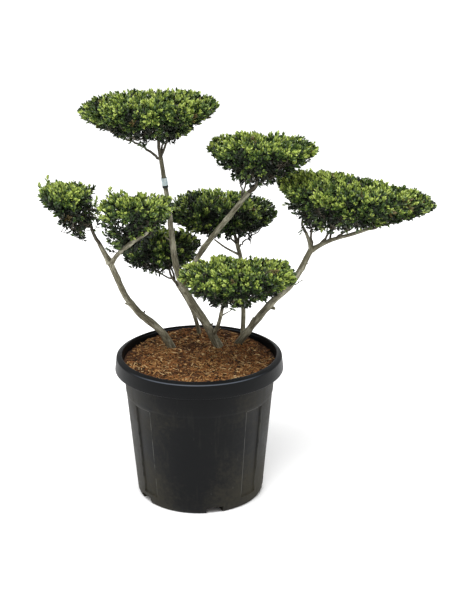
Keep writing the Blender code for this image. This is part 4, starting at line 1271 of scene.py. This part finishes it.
def spiral_leaves(tops, headings, dice):
    """Foot, length axis, upper side and length of every leaf on every shoot, shoot by shoot."""
    count = len(tops)
    number = np.arange(LEAVES_ON_SHOOT)
    helper = np.where(np.abs(headings[:, 2:3]) < 0.9, np.array([[0, 0, 1.0]]), np.array([[1.0, 0, 0]]))
    side = unit(np.cross(headings, helper))
    front = np.cross(headings, side)
    turn = dice.uniform(0, 2 * math.pi, (count, 1)) + number * TURN_PER_LEAF
    turn = turn + dice.normal(0, 0.25, turn.shape)
    radial = side[:, None, :] * np.cos(turn)[..., None] + front[:, None, :] * np.sin(turn)[..., None]
    opening = np.radians(18 + 5.6 * number + dice.normal(0, 9, (count, LEAVES_ON_SHOOT)))
    out = headings[:, None, :]
    along = out * np.cos(opening)[..., None] + radial * np.sin(opening)[..., None]
    face = out * np.sin(opening)[..., None] - radial * np.cos(opening)[..., None]
    along = along + np.array([0, 0, 0.16])
    foot = tops[:, None, :] - out * (number * LEAF_STEP + 0.006)[None, :, None]
    length = dice.uniform(*LEAF_LENGTH, (count, LEAVES_ON_SHOOT)) * (0.72 + 0.28 * np.minimum(1, number / 3))
    flat = [values.reshape(-1, 3) for values in (foot, unit(along), face)]
    return (*flat, length.ravel(), np.tile(number, count))


print("leaf template triangles:", len(leaf_template()[1]))

# %% [markdown]
# The colours of the pads differ, and differ in place: new growth on the tops is yellow green,
# the sides are mid green and the undersides deep and bluish. Much of this is painted light and
# shade: a spray is dealt a paler colour the higher it grows and the more it points up, and a
# darker one the deeper it sits below the clipped surface. The materials hold plain base colours
# with a faint mottle, and whole sprays are dealt to them by where they grow.

# %% Leaf colours
# from leaf_shade to leaf_new_sunlit the tones run from painted shade to painted light, with new growth the palest
LEAF_COLOURS = {  # two near greens, roughness
    "leaf_shade": ((0.004, 0.009, 0.003), (0.008, 0.016, 0.005), 0.46),
    "leaf_deep_shade": ((0.012, 0.028, 0.007), (0.022, 0.044, 0.011), 0.40),
    "leaf_mid": ((0.040, 0.082, 0.017), (0.062, 0.112, 0.023), 0.36),
    "leaf_fresh_lit": ((0.120, 0.190, 0.034), (0.165, 0.235, 0.045), 0.34),
    "leaf_new_sunlit": ((0.330, 0.430, 0.075), (0.450, 0.540, 0.120), 0.34),
    "leaf_bronze": ((0.110, 0.085, 0.028), (0.160, 0.120, 0.040), 0.42),
}
OPENNESS = {  # how bare each pad's underside is round its keel
    "pad_top_left": 0.9, "pad_outer_left": 0.4, "pad_inner_left": 0.3, "pad_low_left": 0.9,
    "pad_back": 0.7, "pad_upper_right": 0.7, "pad_right": 0.8, "pad_low_front": 0.5,
}
CLUMPS_PER_METRE = (29, 74)  # the size of the hollows and tufts in the clipped surface
FRESHNESS_AND_LIGHT = {  # how yellow and bright each pad's top is in the photo: new growth, and painted light and shade
    "pad_top_left": 0.05, "pad_outer_left": 0.20, "pad_inner_left": 0.55, "pad_low_left": -0.20,
    "pad_back": -0.30, "pad_upper_right": 0.40, "pad_right": 0.40, "pad_low_front": 0.40,
}


def leaf_finish(name, dark, pale, roughness):
    leaf = Finish(name, {"Specular IOR Level": 0.5})
    mottle = leaf.noise(leaf.place(), 160.0, 2.0, 0.5)
    colour = leaf.mix(mottle.between(0.35, 0.65), dark, pale)
    return leaf.surface(colour=colour, roughness=roughness + mottle * 0.12)


leaf_finishes = [leaf_finish(name, *finish) for name, finish in LEAF_COLOURS.items()]
# the twigs' bark is the limbs' bark at about half brightness: darker fine bark, and painted shade inside the pads
shaded_twig_bark = bark_finish(
    "shaded_twig_bark", (0.034, 0.028, 0.019), (0.095, 0.082, 0.056), (0.200, 0.180, 0.135), (0.11, 0.050, 0.022))


def spray_tones(pad, name, tops, headings, sunk, dice):
    """The number of the leaf colour for each shoot: the higher and the less sunk, the paler, as painted light and
    shade and fresher growth.
    """
    height = (tops[:, 2] - pad["middle"][2] + pad["drop"]) / (pad["drop"] + pad["rise"])
    # painted light and shade: higher and upward-pointing shoots get paler colours, sunk shoots darker ones
    sun = (0.75 + 0.9 * FRESHNESS_AND_LIGHT[name]) * height ** 2 + 0.34 * headings[:, 2] + 0.8 * field(tops, 22, 0.4)
    sun = sun - 48 * (sunk - 0.009) + dice.normal(0, 0.46, len(tops))
    tones = np.digitize(sun, [0.05, 0.50, 0.98, 1.45])
    return np.where(dice.random(len(tops)) < 0.008, 5, tones)


print("leaf colours:", len(leaf_finishes))

# %% Growing a pad
def pad_shoots(pad, name, area, draws):
    """The top, heading and sunk depth of each shoot: an outer layer in clumps, and an inner one dark as painted
    shade.
    """
    outer = round(area * SHOOTS_PER_SQUARE_METRE)
    inner = round(area * INNER_SHOOTS_PER_SQUARE_METRE * FILLING[name])
    spots = [golden_spots(outer), golden_spots(inner)]
    x, y, up = (np.concatenate(both) for both in zip(*spots))
    is_inner = np.arange(outer + inner) >= outer
    x, y = x + draws.normal(0, 0.016, len(x)), y + draws.normal(0, 0.016, len(x))
    too_far = np.maximum(1.0, np.hypot(x, y))
    x, y = x / too_far, y / too_far
    surface = pad_points(pad, x, y, up)
    out = unit(surface - pad_points(pad, x, y, up, 1.0))
    coarse, fine = CLUMPS_PER_METRE
    clump = 0.85 * field(surface, coarse, 0.45) + 0.95 * field(surface, fine, 0.45)
    keel_x = (pad["keel"][0] - pad["middle"][0]) / pad["half"][0]
    keel_y = (pad["keel"][1] - pad["middle"][1]) / pad["half"][1]
    bare = np.where(up, 0.0, OPENNESS[name] * (1 - way_out(x, y, keel_x, keel_y)) ** 1.9)
    sunk = np.clip(0.008 - 0.024 * clump + 0.016 * bare, 0.0005, 0.028)
    sunk = np.where(is_inner, 0.030 + 0.012 * draws.random(len(x)), sunk)
    stays = draws.random(len(x)) < np.where(is_inner, 1.0, 0.86 + 0.8 * clump) - 1.1 * bare
    headings = unit(out + np.array([0, 0, 0.30]) + draws.normal(0, 0.27, (len(x), 3)))
    settled = 0.002 + 0.006 * np.maximum(0.0, out[:, 2])
    tops = surface - out * (sunk + settled)[:, None]
    stays &= limb_distance(tops, limb_lines.values()) > 0.006
    sprigs = np.array(SPRIGS[name]) if name in SPRIGS else np.zeros((0, 2, 3))
    tops = np.concatenate([tops[stays], sprigs[:, 1]])
    headings = np.concatenate([headings[stays], unit(sprigs[:, 1] - sprigs[:, 0])])
    return tops, headings, np.concatenate([sunk[stays], np.full(len(sprigs), SPRIG_SUNK)])


def grow_pad(name):
    pad = PADS[name]
    dice = random.Random(pad["seed"])
    draws = np.random.default_rng(pad["seed"])
    ribs = pad_ribs(pad, dice) + seen_ribs(name)
    start, bend, hub, ahead, tip_radius = pad_stem(pad)
    thick = bmesh.new()
    stem = crooked([start - ahead * 0.004, bend, hub], [tip_radius, tip_radius * 0.5], dice, 0.0008)
    sweep(thick, resampled(stem, 0.008), 12)
    forks = [point for point, radius in stem[4:]]
    for points, radii in ribs:
        rib = crooked(points, radii, dice, 0.0025)
        sweep(thick, resampled(rib, 0.014), 7)
        forks += [point for point, radius in rib[2:]]
    forks = np.array([fork[:] for fork in forks])

    area = math.pi * pad["half"][0] * pad["half"][1]
    x, y, up = golden_spots(round(area * BRANCHES_PER_SQUARE_METRE))
    branch_tips = pad_points(pad, x * 0.96, y * 0.96, up, 2.2) + draws.normal(0, 0.003, (len(x), 3))
    branch_tips = branch_tips[limb_distance(branch_tips, limb_lines.values()) > 0.005]
    apart = np.linalg.norm(branch_tips[:, None] - forks[None], axis=2)
    branch_feet = forks[apart.argmin(axis=1)]

    tops, headings, sunk = pad_shoots(pad, name, area, draws)
    feet = tops - headings * 0.036
    apart = np.linalg.norm(feet[:, None] - branch_tips[None], axis=2)
    shoot_feet = branch_tips[apart.argmin(axis=1)]
    return pad, draws, thick, (branch_feet, branch_tips), (shoot_feet, feet, tops, headings, sunk)


def twigs_piece(name, thick, branches, shoots):
    branch_feet, branch_tips = branches
    shoot_feet, feet, tops, _, _ = shoots
    middles = (branch_feet + branch_tips) / 2 + np.array([0, 0, -0.004])
    runs = [
        (branch_feet, middles, BRANCH_RADII[0], sum(BRANCH_RADII) / 2),
        (middles, branch_tips, sum(BRANCH_RADII) / 2, BRANCH_RADII[1]),
        (shoot_feet, feet, SHOOT_RADII[0] * 1.1, SHOOT_RADII[0]),
        (feet, tops, SHOOT_RADII[0], SHOOT_RADII[1]),
    ]
    straight = thick.verts.layers.float_vector["straight"]
    bmesh.ops.triangulate(thick, faces=thick.faces)
    thick.verts.index_update()
    corners = [np.array([vert.co[:] for vert in thick.verts])]
    bark_places = [np.array([vert[straight][:] for vert in thick.verts])]
    triangles = [np.array([[vert.index for vert in face.verts] for face in thick.faces])]
    thick.free()
    for starts, ends, foot, tip in runs:
        run_corners, run_triangles = prisms(starts, ends, np.full(len(starts), foot), np.full(len(starts), tip))
        triangles.append(run_triangles + sum(len(part) for part in corners))
        corners.append(run_corners)
        bark_places.append(run_corners)
    faces = np.concatenate(triangles)
    mesh = mesh_of(name, np.concatenate(corners), faces, np.zeros(len(faces)))
    attribute = mesh.attributes.new("straight", "FLOAT_VECTOR", "POINT")
    attribute.data.foreach_set("vector", np.concatenate(bark_places).astype(np.float32).ravel())
    return mesh


def leaves_piece(name, pad, shoots, draws):
    tops, headings, sunk = shoots[2:]
    foot, along, face, length, order = spiral_leaves(tops, headings, draws)
    tones = np.repeat(spray_tones(pad, name, tops, headings, sunk, draws), LEAVES_ON_SHOOT)
    # tip leaves are often one tone paler, as new growth and painted light; lower leaves one tone darker, as older
    # leaves and painted shade
    young_or_lit = (order < 4) & (tones > 0) & (tones < 4) & (draws.random(len(order)) < 0.50)
    old_or_shaded = (order > 3) & (tones > 0) & (tones < 5)
    tones = np.where(young_or_lit, tones + 1, np.where(old_or_shaded, tones - 1, tones))
    side = unit(np.cross(face, along))
    upper = np.cross(along, side)
    tips = foot + along * length[:, None]
    stray = np.arange(len(tops)) >= len(tops) - len(SPRIGS.get(name, []))
    keep = inside_pad(pad, tips, LEAF_REACH) | np.repeat(stray, LEAVES_ON_SHOOT)
    keep &= limb_distance(tips, limb_lines.values()) > 0.0015
    axes = np.stack([along, side, upper], axis=2) * length[:, None, None]
    return sown(name + "_leaves", leaf_template(), axes[keep], foot[keep], tones[keep])


for pad_name in PADS:
    pad, draws, thick, branches, shoots = grow_pad(pad_name)
    twig_mesh = twigs_piece(pad_name + "_twigs", thick, branches, shoots)
    piece_from_mesh(twig_mesh, pad_name + "_twigs", [shaded_twig_bark], [pad_name])
    leaf_mesh = leaves_piece(pad_name, pad, shoots, draws)
    piece_from_mesh(leaf_mesh, pad_name + "_leaves", leaf_finishes, [pad_name])

# %% [markdown]
# A blank label is wrapped round the middle stem, with a dark tie under it. Their CAD nodes have
# the right shape, so they stay, and only their materials are made here: a pale plastic film with
# faint creases, and a rubbery black tie.

# %% Label and tie
def label_finish():
    film = Finish("label_film", {"Specular IOR Level": 0.5, "Coat Weight": 0.2})
    where = film.place()
    creases = film.noise(film.stretched(where, (160.0, 160.0, 60.0)), 1.0, 2.0, 0.5)
    colour = film.mix(creases.between(0.35, 0.7), (0.60, 0.74, 0.80), (0.80, 0.88, 0.90))
    return film.surface(colour, 0.30 + creases * 0.25, film.bump(creases, 0.0006))


def tie_finish():
    rubber = Finish("tie_rubber", {"Specular IOR Level": 0.4})
    grain = rubber.noise(rubber.place(), 600.0, 3.0, 0.6)
    colour = rubber.mix(grain, (0.008, 0.012, 0.011), (0.022, 0.030, 0.028))
    return rubber.surface(colour, 0.45 + grain * 0.2, rubber.bump(grain, 0.0004))


for node_name, finish in (("label_wrap", label_finish()), ("label_tie", tie_finish())):
    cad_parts[node_name].data.materials.clear()
    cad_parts[node_name].data.materials.append(finish)
print("label and tie finished")
